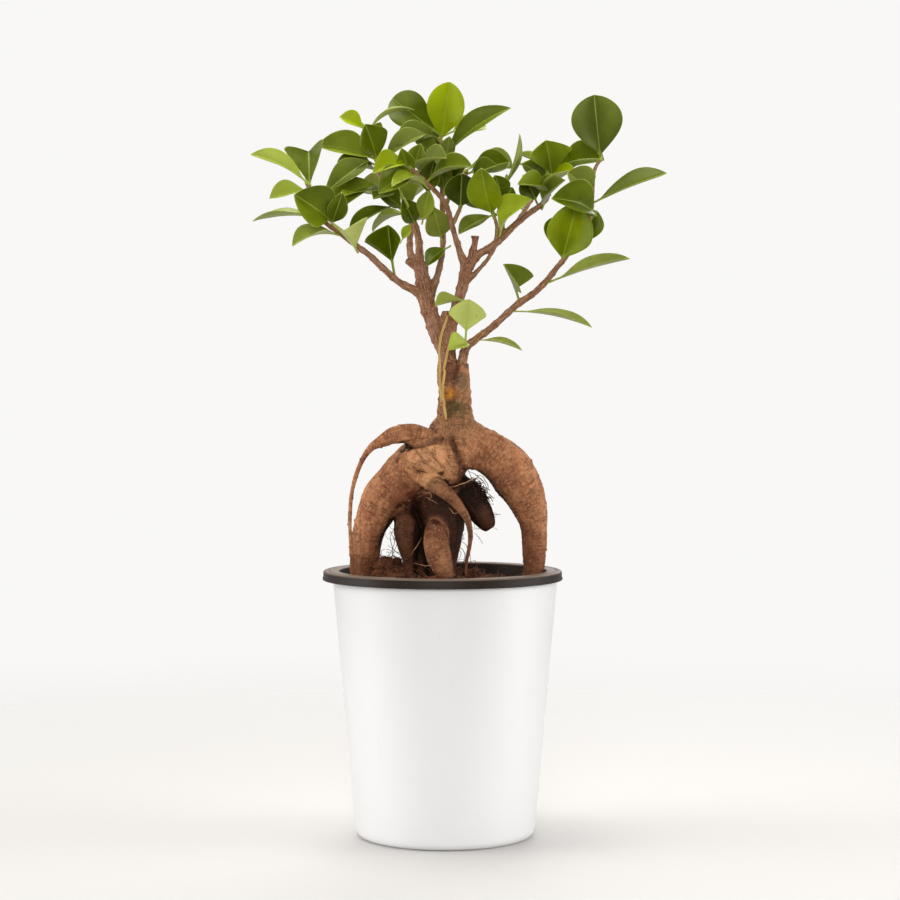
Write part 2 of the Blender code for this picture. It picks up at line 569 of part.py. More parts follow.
def main():
    parts, cutters = startScene()
    whitePlastic = finish("white_plastic", (0.84, 0.84, 0.86), 0.45)
    darkPlastic = finish("dark_plastic", (0.060, 0.050, 0.045), 0.55)
    earth = finish("potting_soil", (0.045, 0.018, 0.010), 0.95)
    bark = finish("root_bark", (0.36, 0.19, 0.085), 0.75)
    twigBark = finish("twig_bark", (0.20, 0.085, 0.045), 0.7)
    leafGreen = finish("leaf_green", (0.10, 0.19, 0.008), 0.35)
    straw = finish("raffia_straw", (0.60, 0.38, 0.12), 0.7)

    coverPot = makeCoverPot(whitePlastic, parts)
    makeNurseryPot(darkPlastic, parts, cutters)
    rootstock = makeRootstock(bark, parts)
    rootBed = largerCopy(rootstock, BED_GAP, cutters)
    makeSoil(earth, parts, [rootBed])

    mainGraft = addPiece("main_graft", fusedMesh("main_graft", MAIN_GRAFT_PATHS, TWIG_VOXEL,
                                                 TWIG_SMOOTHING, MAIN_GRAFT_TRIANGLES), twigBark, parts)
    subtract(mainGraft, rootBed)
    rightGraft = addPiece("right_graft", fusedMesh("right_graft", RIGHT_GRAFT_PATHS, TWIG_VOXEL,
                                                   TWIG_SMOOTHING, RIGHT_GRAFT_TRIANGLES), twigBark, parts)
    subtract(rightGraft, rootBed)
    subtract(rightGraft, largerCopy(mainGraft, GAP, cutters))
    for graft in (mainGraft, rightGraft):
        shadeRound(graft.data, 60)

    for name, points in RAFFIA_PATHS.items():
        makeRaffia(name, points, straw, parts)

    wood = barkTree((rootstock, mainGraft, rightGraft))
    for shoot, rows in LEAVES.items():
        for index, row in enumerate(rows):
            makeLeaf("leaf_%s_%d" % (shoot, index + 1), row, wood, leafGreen, parts)

    planting = bpy.data.objects.new("planting", None)
    planting.location = (PLANTING_SHIFT * MM, 0.0, 0.0)
    parts.objects.link(planting)
    for item in list(parts.objects) + list(cutters.objects):
        if item not in (coverPot, planting):
            item.parent = planting


main()
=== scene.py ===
import json
import math
import random

import bmesh
import bpy
import numpy as np
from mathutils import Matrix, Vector, noise
from mathutils.bvhtree import BVHTree

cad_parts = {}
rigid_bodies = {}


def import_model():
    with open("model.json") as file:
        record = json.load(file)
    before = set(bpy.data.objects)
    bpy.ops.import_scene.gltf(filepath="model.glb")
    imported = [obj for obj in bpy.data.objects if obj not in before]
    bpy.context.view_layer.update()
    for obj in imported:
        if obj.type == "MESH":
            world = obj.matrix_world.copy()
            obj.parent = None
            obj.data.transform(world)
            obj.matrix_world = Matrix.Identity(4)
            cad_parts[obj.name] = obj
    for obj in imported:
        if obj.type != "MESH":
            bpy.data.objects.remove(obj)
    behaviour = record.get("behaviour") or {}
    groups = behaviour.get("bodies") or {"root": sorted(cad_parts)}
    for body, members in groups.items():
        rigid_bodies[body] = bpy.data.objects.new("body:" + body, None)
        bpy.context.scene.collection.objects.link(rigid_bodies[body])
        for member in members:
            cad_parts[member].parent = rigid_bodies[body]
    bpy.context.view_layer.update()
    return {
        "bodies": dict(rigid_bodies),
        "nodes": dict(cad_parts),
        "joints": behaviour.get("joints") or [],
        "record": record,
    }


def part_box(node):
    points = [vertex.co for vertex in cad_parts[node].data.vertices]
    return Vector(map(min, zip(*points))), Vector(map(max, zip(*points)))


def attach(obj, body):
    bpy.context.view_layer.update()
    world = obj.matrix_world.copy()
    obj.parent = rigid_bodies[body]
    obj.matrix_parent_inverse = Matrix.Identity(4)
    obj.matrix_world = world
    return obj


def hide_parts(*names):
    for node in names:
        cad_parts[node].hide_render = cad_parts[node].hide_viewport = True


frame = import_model()
mm = 0.001
potLow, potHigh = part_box("nursery_pot")
plantShift = (potLow.x + potHigh.x) / 2 / mm      # the planting hangs a little off the cover pot's axis
rimTop = potHigh.z / mm
print("frame loaded:", len(frame["nodes"]), "nodes")


# Camera, lamps and floor

cameraSettings = {"place": (0.0024, -1.2, 0.2297), "downwardTilt": 0.0304, "lens": 96.1, "sensorWidth": 36.0,
                  "clipStart": 0.01}
lampColour = (1.0, 0.985, 0.96)
lampSettings = {
    "overheadSoftbox": {"place": (-0.16, 0.12, 1.45), "aim": (0, 0, 0.25), "size": 0.9, "power": 15},
    "leftSoftbox": {"place": (-1.25, -0.12, 0.42), "aim": (0, 0, 0.2), "size": 1.0, "power": 8.8},
    "rightSoftbox": {"place": (1.25, -0.12, 0.42), "aim": (0, 0, 0.2), "size": 1.0, "power": 10.0},
    "frontSoftbox": {"place": (-0.12, -2.4, 0.75), "aim": (0, 0, 0.2), "size": 0.9, "power": 24},
    "backSoftbox": {"place": (0.3, 1.4, 0.9), "aim": (0, 0, 0.25), "size": 1.2, "power": 6},
}
studioSettings = {"backdrop": (0.947, 0.939, 0.924), "ambient": (1.0, 0.99, 0.97), "ambientStrength": 0.25,
                  "floorRadius": 2.2, "floorFadeStart": 0.12, "floorFadeEnd": 0.85,
                  "floorColour": (0.685, 0.672, 0.660), "floorShade": 0.985, "floorGrain": 260.0,
                  "floorRoughness": 0.55, "floorSpecular": 0.3, "mirroredShare": 0.4}


def addObject(name, data):
    item = bpy.data.objects.new(name, data)
    bpy.context.scene.collection.objects.link(item)
    return item


def setCamera(settings):
    camera = addObject("camera", bpy.data.cameras.new("camera"))
    camera.location = settings["place"]
    camera.rotation_euler = (math.pi / 2 - settings["downwardTilt"], 0.0, 0.0)
    camera.data.lens = settings["lens"]
    camera.data.sensor_width = settings["sensorWidth"]
    camera.data.clip_start = settings["clipStart"]
    bpy.context.scene.camera = camera


def setLamps(settings):
    for name, values in settings.items():
        light = bpy.data.lights.new(name, "AREA")
        light.shape = "DISK"
        light.size = values["size"]
        light.energy = values["power"]
        light.color = lampColour
        lamp = addObject(name, light)
        lamp.location = values["place"]
        direction = Vector(values["aim"]) - lamp.location
        lamp.rotation_euler = direction.to_track_quat("-Z", "Y").to_euler()


def setWorld(settings):
    world = bpy.data.worlds.new("studio")
    world.use_nodes = True
    tree = world.node_tree
    tree.nodes.clear()
    output = tree.nodes.new("ShaderNodeOutputWorld")
    ambient, backdrop = (tree.nodes.new("ShaderNodeBackground") for _ in range(2))
    plug(tree, backdrop.inputs["Color"], settings["backdrop"])
    plug(tree, ambient.inputs["Color"], settings["ambient"])
    plug(tree, ambient.inputs["Strength"], settings["ambientStrength"])
    ray = tree.nodes.new("ShaderNodeLightPath")
    mix = tree.nodes.new("ShaderNodeMixShader")
    # the pale room shows behind the plant and in its glossy parts
    mirrored = times(tree, ray.outputs["Is Glossy Ray"], settings["mirroredShare"])
    plug(tree, mix.inputs[0], maths(tree, "MAXIMUM", ray.outputs["Is Camera Ray"], mirrored))
    tree.links.new(ambient.outputs[0], mix.inputs[1])
    tree.links.new(backdrop.outputs[0], mix.inputs[2])
    tree.links.new(mix.outputs[0], output.inputs[0])
    bpy.context.scene.world = world
    bpy.context.scene.view_settings.view_transform = "Standard"


# Node helpers, shared by every finish

def plug(tree, socket, value):
    if isinstance(value, bpy.types.NodeSocket):
        tree.links.new(value, socket)
    elif socket.type == "RGBA" and len(value) == 3:
        socket.default_value = (*value, 1.0)
    else:
        socket.default_value = value


def newFinish(name):
    material = bpy.data.materials.new(name)
    material.use_nodes = True
    tree = material.node_tree
    return material, tree, tree.nodes["Principled BSDF"]


def maths(tree, operation, first, second=0.0):
    node = tree.nodes.new("ShaderNodeMath")
    node.operation = operation
    plug(tree, node.inputs[0], first)
    plug(tree, node.inputs[1], second)
    return node.outputs[0]


def plus(tree, first, second):
    return maths(tree, "ADD", first, second)


def minus(tree, first, second):
    return maths(tree, "SUBTRACT", first, second)


def times(tree, first, second):
    return maths(tree, "MULTIPLY", first, second)


def span(tree, value, low, high, toLow=0.0, toHigh=1.0):
    node = tree.nodes.new("ShaderNodeMapRange")
    node.interpolation_type = "SMOOTHSTEP"
    for index, item in enumerate((value, low, high, toLow, toHigh)):
        plug(tree, node.inputs[index], item)
    return node.outputs[0]


def mixColour(tree, share, first, second):
    node = tree.nodes.new("ShaderNodeMix")
    node.data_type = "RGBA"
    plug(tree, node.inputs[0], share)
    plug(tree, node.inputs[6], first)
    plug(tree, node.inputs[7], second)
    return node.outputs[2]


def stained(tree, colour, mask, share, stain):
    # the colour with a stain laid over it where the mask is, as strong as the share
    return mixColour(tree, times(tree, mask, share), colour, stain)


def rampColour(tree, value, stops):
    node = tree.nodes.new("ShaderNodeValToRGB")
    plug(tree, node.inputs[0], value)
    elements = node.color_ramp.elements
    while len(elements) < len(stops):
        elements.new(0.5)
    for element, (place, colour) in zip(elements, stops):
        element.position = place
        element.color = (*colour, 1.0)
    return node.outputs[0]


def objectPlace(tree, scale=(1, 1, 1), centre=(0, 0, 0)):
    coordinates = tree.nodes.new("ShaderNodeTexCoord")
    mapping = tree.nodes.new("ShaderNodeMapping")
    tree.links.new(coordinates.outputs["Object"], mapping.inputs["Vector"])
    mapping.inputs["Scale"].default_value = scale
    mapping.inputs["Location"].default_value = [-c * s for c, s in zip(centre, scale)]
    return mapping.outputs[0]


def attributeValue(tree, name, output="Fac"):
    node = tree.nodes.new("ShaderNodeAttribute")
    node.attribute_name = name
    return node.outputs[output]


def stretched(tree, vector, scale):
    node = tree.nodes.new("ShaderNodeMapping")
    tree.links.new(vector, node.inputs["Vector"])
    node.inputs["Scale"].default_value = scale
    return node.outputs[0]


def noiseOf(tree, vector, scale, detail=3.0, roughness=0.55, distortion=0.0):
    node = tree.nodes.new("ShaderNodeTexNoise")
    tree.links.new(vector, node.inputs["Vector"])
    plug(tree, node.inputs["Scale"], scale)
    plug(tree, node.inputs["Detail"], detail)
    plug(tree, node.inputs["Roughness"], roughness)
    plug(tree, node.inputs["Distortion"], distortion)
    return node.outputs[0]


def cellsOf(tree, vector, scale=1.0):
    node = tree.nodes.new("ShaderNodeTexVoronoi")
    tree.links.new(vector, node.inputs["Vector"])
    plug(tree, node.inputs["Scale"], scale)
    return node.outputs["Distance"]


def bumpOf(tree, shader, height, strength, depth):
    node = tree.nodes.new("ShaderNodeBump")
    plug(tree, node.inputs["Strength"], strength)
    plug(tree, node.inputs["Distance"], depth)
    plug(tree, node.inputs["Height"], height)
    tree.links.new(node.outputs[0], shader.inputs["Normal"])


def distanceFrom(tree, centre=(0, 0, 0)):
    offset = tree.nodes.new("ShaderNodeVectorMath")
    offset.operation = "LENGTH"
    tree.links.new(objectPlace(tree, centre=centre), offset.inputs[0])
    return offset.outputs["Value"]


def patched(tree, colour, ragged, patch):
    # a patch is (centre, radius, softness of its edge, colour, share)
    (x, y, z), radius, softness, stain, share = patch
    reach = distanceFrom(tree, ((x + plantShift) * mm, y * mm, z * mm))
    reach = plus(tree, reach, times(tree, ragged, softness * mm))
    spot = span(tree, reach, (radius + softness) * mm, (radius - softness * 0.4) * mm)
    return stained(tree, colour, spot, share, stain)


def setSurface(tree, shader, colour, roughness, specular):
    plug(tree, shader.inputs["Base Color"], colour)
    plug(tree, shader.inputs["Roughness"], roughness)
    shader.inputs["Specular IOR Level"].default_value = specular


def floorFinish(settings):
    material, tree, shader = newFinish("pale_floor")
    grain = noiseOf(tree, objectPlace(tree), settings["floorGrain"])
    darker = [part * settings["floorShade"] for part in settings["floorColour"]]
    colour = mixColour(tree, grain, darker, settings["floorColour"])
    setSurface(tree, shader, colour, settings["floorRoughness"], settings["floorSpecular"])
    fade = span(tree, distanceFrom(tree), settings["floorFadeStart"], settings["floorFadeEnd"], 1.0, 0.0)
    tree.links.new(fade, shader.inputs["Alpha"])
    return material


def meshFrom(work, name):
    mesh = bpy.data.meshes.new(name)
    work.to_mesh(mesh)
    work.free()
    return mesh


def setFloor(settings):
    work = bmesh.new()
    bmesh.ops.create_circle(work, cap_ends=True, segments=96, radius=settings["floorRadius"])
    floor = addObject("floor", meshFrom(work, "floor"))
    floor.data.materials.append(floorFinish(settings))


setCamera(cameraSettings)
setLamps(lampSettings)
setWorld(studioSettings)
setFloor(studioSettings)
print("camera, lamps and floor set")


# Mesh helpers

def newPiece(name, mesh, material, nodes=()):
    piece = addObject(name, mesh)
    mesh.materials.clear()
    mesh.materials.append(material)
    mesh.shade_smooth()
    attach(piece, "root")
    if nodes:
        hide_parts(*nodes)
    return piece


def shapedMesh(item):
    bpy.context.view_layer.update()
    shaped = item.evaluated_get(bpy.context.evaluated_depsgraph_get())
    return bpy.data.meshes.new_from_object(shaped)


def readVectors(mesh, key):
    values = np.zeros(len(mesh.vertices) * 3, np.float32)
    mesh.vertices.foreach_get(key, values)
    return values.reshape(-1, 3).astype(float)


def setPoints(mesh, points):
    mesh.vertices.foreach_set("co", (points * mm).astype(np.float32).ravel())
    mesh.update()


def writeAttribute(mesh, name, values):
    isVector = values.ndim == 2
    attribute = mesh.attributes.new(name, "FLOAT_VECTOR" if isVector else "FLOAT", "POINT")
    attribute.data.foreach_set("vector" if isVector else "value", values.astype(np.float32).ravel())


def readAttribute(mesh, name):
    values = np.zeros(len(mesh.vertices), np.float32)
    mesh.attributes[name].data.foreach_get("value", values)
    return values


def sheetFaces(rows, columns):
    # faces of a thin closed sheet: its top, its bottom and the edge all round
    down = rows * columns
    faces = []
    for i in range(rows - 1):
        for j in range(columns - 1):
            a, b = i * columns + j, i * columns + j + 1
            c, d = b + columns, a + columns
            faces += [(a, b, c, d), (a + down, d + down, c + down, b + down)]
    loop = list(range(columns)) + [i * columns + columns - 1 for i in range(1, rows)]
    loop += [(rows - 1) * columns + j for j in range(columns - 2, -1, -1)]
    loop += [i * columns for i in range(rows - 2, 0, -1)]
    return faces + [(b, a, a + down, b + down) for a, b in zip(loop, loop[1:] + loop[:1])]


def ringFaces(start, rows, count):
    # faces between rings of points, each ring of count points, row after row
    faces = []
    for low in range(start, start + (rows - 1) * count, count):
        for k in range(count):
            after = (k + 1) % count
            faces.append((low + k, low + after, low + count + after, low + count + k))
    return faces


def meshOf(name, points, faces):
    # a mesh from points in millimetres
    mesh = bpy.data.meshes.new(name)
    mesh.from_pydata((np.asarray(points) * mm).tolist(), [], faces)
    return mesh


def turnOutwards(mesh):
    work = bmesh.new()
    work.from_mesh(mesh)
    bmesh.ops.recalc_face_normals(work, faces=work.faces)
    work.to_mesh(mesh)
    work.free()
    return mesh


def edgesOf(mesh):
    edges = np.zeros(len(mesh.edges) * 2, np.int32)
    mesh.edges.foreach_get("vertices", edges)
    return edges.reshape(-1, 2)


def relaxed(values, edges, rounds, factor=0.5):
    count = np.maximum(np.bincount(edges.ravel(), minlength=len(values)), 1).astype(float)
    if values.ndim == 2:
        count = count[:, None]
    for _ in range(rounds):
        total = np.zeros_like(values)
        np.add.at(total, edges[:, 0], values[edges[:, 1]])
        np.add.at(total, edges[:, 1], values[edges[:, 0]])
        values = values + (total / count - values) * factor
    return values


def smoothStep(value, low, high):
    share = np.clip((value - low) / (high - low), 0.0, 1.0)
    return share * share * (3.0 - 2.0 * share)


def noiseField(points, size, seed, octaves=2):
    spread = np.asarray(points) / np.asarray(size) + np.array((seed * 17.3, seed * 5.1, seed * 11.7))
    return np.array([noise.fractal(point, 1.0, 2.0, octaves) for point in spread.tolist()])


# The wood: runs of rings along a centre line, grown into one skin

def runSamples(rows, step):
    # a smooth line through the rows (x, y, z, radius)
    knots = np.array(rows, float)
    knots = np.vstack([2 * knots[0] - knots[1], knots, 2 * knots[-1] - knots[-2]])
    samples = []
    for a, b, c, d in zip(knots, knots[1:], knots[2:], knots[3:]):
        count = max(2, int(round(np.linalg.norm(c[:3] - b[:3]) / step)))
        for t in np.arange(count) / count:
            samples.append(0.5 * (2 * b + (c - a) * t + (2 * a - 5 * b + 4 * c - d) * t ** 2
                                  + (3 * b - a - 3 * c + d) * t ** 3))
    samples.append(knots[-2])
    samples = np.array(samples)
    samples[:, 3] = np.maximum(samples[:, 3], 0.12)
    return samples


def runFrames(samples):
    # direction of the run at each sample, with two directions across it that don't twist
    tangents = np.gradient(samples[:, :3], axis=0)
    tangents /= np.linalg.norm(tangents, axis=1)[:, None]
    start = np.array((0.0, 1.0, 0.0)) if abs(tangents[0][1]) < 0.8 else np.array((1.0, 0.0, 0.0))
    sides = []
    for tangent in tangents:
        start = start - tangent * (start @ tangent)
        start = start / np.linalg.norm(start)
        sides.append(start)
    sides = np.array(sides)
    return tangents, sides, np.cross(tangents, sides)


def runRings(samples, count):
    _, sides, others = runFrames(samples)
    angles = (np.arange(count) * 2 * math.pi / count)[None, :, None]
    around = sides[:, None] * np.cos(angles) + others[:, None] * np.sin(angles)
    return samples[:, None, :3] + samples[:, None, 3:] * around


def meshOfRings(name, allRings):
    # closed tubes, each given as an array of rings
    points, faces, start = [], [], 0
    for rings in allRings:
        length, count = rings.shape[:2]
        points.append(rings.reshape(-1, 3))
        faces += ringFaces(start, length, count)
        faces.append(tuple(start + k for k in reversed(range(count))))
        faces.append(tuple(start + (length - 1) * count + k for k in range(count)))
        start += length * count
    return meshOf(name, np.vstack(points), faces)


def grownTogether(name, allRings, voxel):
    guide = addObject(name, meshOfRings(name, allRings))
    remesh = guide.modifiers.new("grow_together", "REMESH")
    remesh.mode = "VOXEL"
    remesh.voxel_size = voxel * mm
    mesh = shapedMesh(guide)
    bpy.data.objects.remove(guide)
    return mesh


def grainOf(points, runs):
    # for each point of the skin: the run it belongs to, how far along it lies, and where across
    centres = np.vstack([run["samples"] for run in runs])
    frames = [runFrames(run["samples"]) for run in runs]
    tangents, sides, others = (np.vstack([frame[index] for frame in frames]) for index in range(3))
    chunk, runSpacing = 4000, 400.0
    lengths, tones = [], []
    for number, run in enumerate(runs):
        steps = np.linalg.norm(np.diff(run["samples"][:, :3], axis=0), axis=1)
        lengths.append(np.concatenate([[0.0], np.cumsum(steps)]) + runSpacing * number)
        tones.append(np.full(len(run["samples"]), run["tone"]))
    lengths, tones = np.concatenate(lengths), np.concatenate(tones)
    grain, tone, radius = np.zeros_like(points), np.zeros(len(points)), np.zeros(len(points))
    for start in range(0, len(points), chunk):
        part = points[start:start + chunk]
        squares = (part ** 2).sum(1)[:, None] + (centres[:, :3] ** 2).sum(1)[None]
        squares = squares - 2 * part @ centres[:, :3].T
        best = (np.sqrt(np.maximum(squares, 0)) - centres[:, 3][None]).argmin(1)
        offset = part - centres[best, :3]
        shift = (offset * tangents[best]).sum(1)
        grain[start:start + chunk] = np.stack([lengths[best] + shift, (offset * sides[best]).sum(1),
                                              (offset * others[best]).sum(1)], axis=1)
        tone[start:start + chunk] = tones[best]
        radius[start:start + chunk] = centres[best, 3]
    return grain, tone, radius


def wayDistance(points, way):
    # distance from each point to a line of straight parts
    nearest = np.full(len(points), 1e9)
    for start, end in zip(way, way[1:]):
        share = np.clip(((points - start) @ (end - start)) / ((end - start) @ (end - start)), 0, 1)
        nearest = np.minimum(nearest, np.linalg.norm(points - start - share[:, None] * (end - start), axis=1))
    return nearest


def enclosedShare(mesh, count, reach):
    # share of the view from each point of the skin that is blocked by the skin itself
    corners = [tuple(face.vertices) for face in mesh.polygons]
    tree = BVHTree.FromPolygons([vert.co for vert in mesh.vertices], corners)
    turns = np.arange(count) * math.pi * (3 - math.sqrt(5))
    heights = 1 - 2 * (np.arange(count) + 0.5) / count
    flat = np.sqrt(1 - heights ** 2)
    rays = [Vector(ray) for ray in np.stack([flat * np.cos(turns), flat * np.sin(turns), heights], axis=1)]
    shares = np.zeros(len(mesh.vertices))
    for index, vert in enumerate(mesh.vertices):
        start = vert.co + vert.normal * 0.4 * mm
        for ray in rays:
            facing = ray.dot(vert.normal)
            if facing > 0.05 and tree.ray_cast(start, ray, reach * mm)[0] is not None:
                shares[index] += facing
    return shares / (count / 4)


def placed(rows):
    return [(row[0] + plantShift, *row[1:]) for row in rows]


def pushedOut(mesh, points, push):
    # moves each point along its normal and gives the new points with their normals
    points = points + readVectors(mesh, "normal") * push[:, None]
    setPoints(mesh, points)
    return points, readVectors(mesh, "normal")


# Rootstock: each run is (darkness painted on its skin, rows of x, y, z, radius). The darkness is mostly
# painted shade on the inner roots under the belly, partly their own darker damp skin
rootSettings = {
    "voxel": 0.72, "quickVoxel": 1.3, "step": 1.5, "sides": 28, "softening": 3,
    "swellSize": 13.0, "swelling": 0.05,
    # noise that shapes the skin: (size, height, seed)
    "lumps": (11.0, 0.55, 3), "wrinkles": ((16.0, 2.4, 2.4), 0.26, 5), "rings": ((1.9, 9.0, 9.0), 0.16, 7),
    "graftLumps": (2.0, 0.6, 9), "graftLow": 193.0, "graftHigh": 222.0, "graftFade": 12.0,
    "graftCentre": 4.0, "graftReach": (-17.0, -9.0), "creaseFront": (0.0, 4.0), "creaseShade": 0.85,
    "fullPushRadius": 6.0, "leastPush": 0.15, "toneRounds": 6, "shadeRounds": 2, "creviceRounds": 3,
    "hollowRounds": 24, "hollowDepths": (0.25, 1.5),
    "creviceRays": 14, "creviceReach": 26.0, "creviceStart": 0.26, "creviceEnd": 0.54,
    "darkeningHeights": (145.5, 139.5),
    "runs": {
        "trunk": (0.12, ((3, 0, 186, 15.5), (5, 0, 196, 12.8), (6.2, 0, 204, 10.4), (6, 0, 213, 8.6),
                         (6, 0, 221, 8.2), (5.4, 0, 229, 8.3), (5.4, 0, 236.6, 7.7))),
        "belly": (0.0, ((-3, -3, 192, 12), (-8, -6, 186.5, 14.8), (-10, -7, 181.5, 11.0))),
        "bellyRight": (0.0, ((1, -3, 190, 12.4), (1.5, -5, 182.5, 10.4), (1, -5, 177, 7))),
        "leftLeg": (0.0, ((-4, 0, 188, 14), (-15, 0, 181.5, 13.4), (-26.7, 1, 173.2, 10.6),
                          (-32.5, 3, 163.5, 9.7), (-36.4, 4, 154, 8.4), (-38.3, 5, 144, 7.7),
                          (-39.8, 6, 133, 7.0), (-40.5, 6, 117, 4.8))),
        "rightLeg": (0.0, ((5, 0, 201, 8.6), (11, -1, 198.5, 10.2), (19.5, -1, 194, 10.4),
                           (29.6, 0, 187, 11.5), (38, 1.5, 176, 11.3), (43.4, 3.5, 165, 9.2),
                           (45.8, 4.6, 155, 6.9), (46.2, 5, 145, 6.1), (45.6, 5, 132, 5.5),
                           (44.6, 5.2, 125, 4.8), (43, 5.5, 117, 3.9))),
        "knob": (0.0, ((23, 0, 193, 6.4), (28, -1, 198.8, 3.2))),
        "core": (1.0, ((-3, 3, 184, 12.5), (-2, 3, 172, 12.0), (-0.5, 2, 162, 11.8), (0.5, 1, 153, 10.6),
                       (1.5, 0, 146, 8.0), (2, -1, 139, 5.6), (1.5, -3, 129, 4.4), (0.5, -3, 117, 3.6))),
        "foot": (0.25, ((-3.0, -3, 160.0, 3.0), (-3.4, -7, 155.6, 5.0), (-3.2, -11, 150.6, 6.3),
                        (-2.5, -13.5, 144.5, 6.3), (-0.7, -15.2, 138, 5.7), (1.7, -16.6, 131, 4.5),
                        (3.2, -17.2, 117, 3.2))),
        "innerLeft": (0.8, ((-12, 6, 176, 6), (-17.5, 3, 168.5, 4.8), (-19.4, 0.5, 162.4, 4.4),
                            (-18.4, -1, 157, 6.0),
                             (-17.5, -2, 151.5, 6.8), (-17.5, -2, 145.5, 5.4), (-16.8, -2, 139.5, 3.7),
                             (-16, -2, 134, 2.8), (-15.8, -2, 117, 2.0))),
        "innerBack": (1.0, ((-8, 8, 176, 6), (-11, 5, 160, 5.0), (-11.5, 4, 146, 4.4), (-10.5, 3, 134, 3.8),
                            (-10, 3, 117, 2.6))),
        "tuber": (0.95, ((6, 3, 178, 6), (12.5, 1, 171, 6.4), (18, -1, 163.5, 6.3), (21.6, -1.5, 157.5, 5.2),
                         (23.8, -1.5, 153.8, 2.6))),
        "backLeg": (0.35, ((0, 8, 188, 13), (-2, 22, 177, 10.6), (-5, 32, 162, 8.8), (-6, 37, 147, 7.2),
                           (-6, 38.5, 131, 5.8), (-6, 38, 117, 4))),
        "backShoulder": (0.0, ((4, 2, 205, 9.0), (2, 6, 197, 11.2), (-1, 13, 188, 11.6),
                               (-2.5, 22, 178, 10.6))),
        "leftShoulder": (0.0, ((3, 3, 196, 11), (-5, 4, 190, 10.5), (-14, 3, 185, 11.5),
                               (-22, 2, 177, 10.5))),
        "upperLeft": (0.05, ((3, -5, 195.5, 3.4), (-4, -9, 199, 3.1), (-10.5, -11.5, 201.6, 4.1),
                             (-17, -12, 202, 4.9), (-24.5, -12, 200.4, 4.5),
                             (-30.5, -12, 197.6, 3.0), (-35.5, -11.5, 194.6, 1.9), (-40, -11, 188, 1.35),
                             (-43.4, -11, 179, 1.2), (-45.4, -11, 169, 1.15), (-45.9, -11, 157, 1.1),
                             (-45.3, -11, 144, 1.1), (-44.4, -10, 131, 1.0), (-43.8, -10, 120, 0.9))),
        "front": (0.5, ((-9, -11, 179, 4.4), (-3, -16.4, 176.2, 4.0), (3.6, -19.6, 171.2, 3.3),
                        (9, -22, 165.2, 2.5), (12.3, -21.5, 159.5, 1.9), (13.7, -20, 152, 1.45),
                        (13.0, -18, 144.4, 1.2), (11.5, -16, 136.5, 1.05), (11, -15, 120, 1.0))),
    },
    # creases on the front: (width, depth, way across x and z)
    "creases": ((1.6, 2.1, ((4.2, 200), (6.2, 194), (9.6, 186))),
                (0.9, 1.1, ((8.3, 238), (6.2, 231), (5.2, 226), (6, 219))),
                (1.2, 1.5, ((-1, 199), (-7, 197), (-15, 195.4), (-25, 194.8))),
                (0.45, 0.5, ((-9.5, 196.5), (-4, 190), (1.5, 184))),
                (0.4, 0.4, ((-13, 194), (-8.5, 187), (-3, 183.5))),
                (0.45, 0.5, ((-19, 183), (-13.5, 176.5), (-9.5, 174.5))),
                (0.4, 0.4, ((-22, 180), (-17.5, 174))), (0.5, 0.6, ((-6, 178.5), (-1, 177.6), (4, 175.4)))),
    "graftTan": (0.52, 0.28, 0.115),
    # places on the skin with a colour laid over them: (centre, radius, softness, colour, share); some are
    # painted light and shade, marked below
    # painted highlight: the belly's front drawn pale tan where it faces the lamps
    "bellyHighlight": ((-6.0, -18.0, 185.0), 9.5, 9.0, (0.720, 0.370, 0.165), 0.74),
    "patches": (
        # painted shade on the belly's right side, where it turns away into the gap by the right leg
        ((11.5, -11.0, 181.0), 4.6, 3.0, (0.060, 0.018, 0.009), 0.80),
        ((9.5, -13.0, 175.5), 3.4, 3.0, (0.050, 0.015, 0.008), 0.80),
        # painted shade on the top of the foot, under the belly
        ((-4.0, -15.0, 154.0), 3.6, 4.0, (0.110, 0.030, 0.018), 0.70),
        # painted highlight: a paler tan on the foot's lower front
        ((1.0, -21.0, 138.0), 3.0, 4.0, (0.560, 0.260, 0.120), 0.45),
        # painted shade across the middles and inner edges of the legs
        ((-20.0, -11.0, 170.0), 7.5, 6.0, (0.200, 0.056, 0.030), 0.60),
        ((-32.0, -6.0, 145.0), 6.0, 5.0, (0.200, 0.060, 0.032), 0.50),
        ((30.0, -8.0, 180.0), 6.0, 6.0, (0.230, 0.072, 0.036), 0.35),
        ((44.0, -2.0, 146.0), 9.0, 7.0, (0.210, 0.064, 0.034), 0.45),
        # near black round the root tuft
        ((17.5, 0.0, 174.0), 8.5, 2.0, (0.012, 0.005, 0.003), 0.90),
        # the bark's own orange, green and brown marks on the trunk
        ((3.6, -8.3, 221.4), 2.7, 2.0, (0.500, 0.150, 0.012), 0.75),
        ((4.0, -8.6, 220.6), 1.0, 2.0, (0.700, 0.360, 0.020), 0.75),
        ((4.2, -8.5, 214.2), 3.6, 2.0, (0.060, 0.048, 0.015), 0.75),
        ((9.6, -7.0, 213.4), 3.6, 2.0, (0.075, 0.058, 0.020), 0.65),
        ((3.6, -7.5, 232.5), 4.8, 2.0, (0.085, 0.027, 0.016), 0.65),
        ((10.0, -6.5, 227.5), 3.6, 2.0, (0.105, 0.080, 0.045), 0.60),
        ((9.0, 0.0, 238.0), 5.5, 2.0, (0.110, 0.055, 0.032), 0.80),
    ),
}


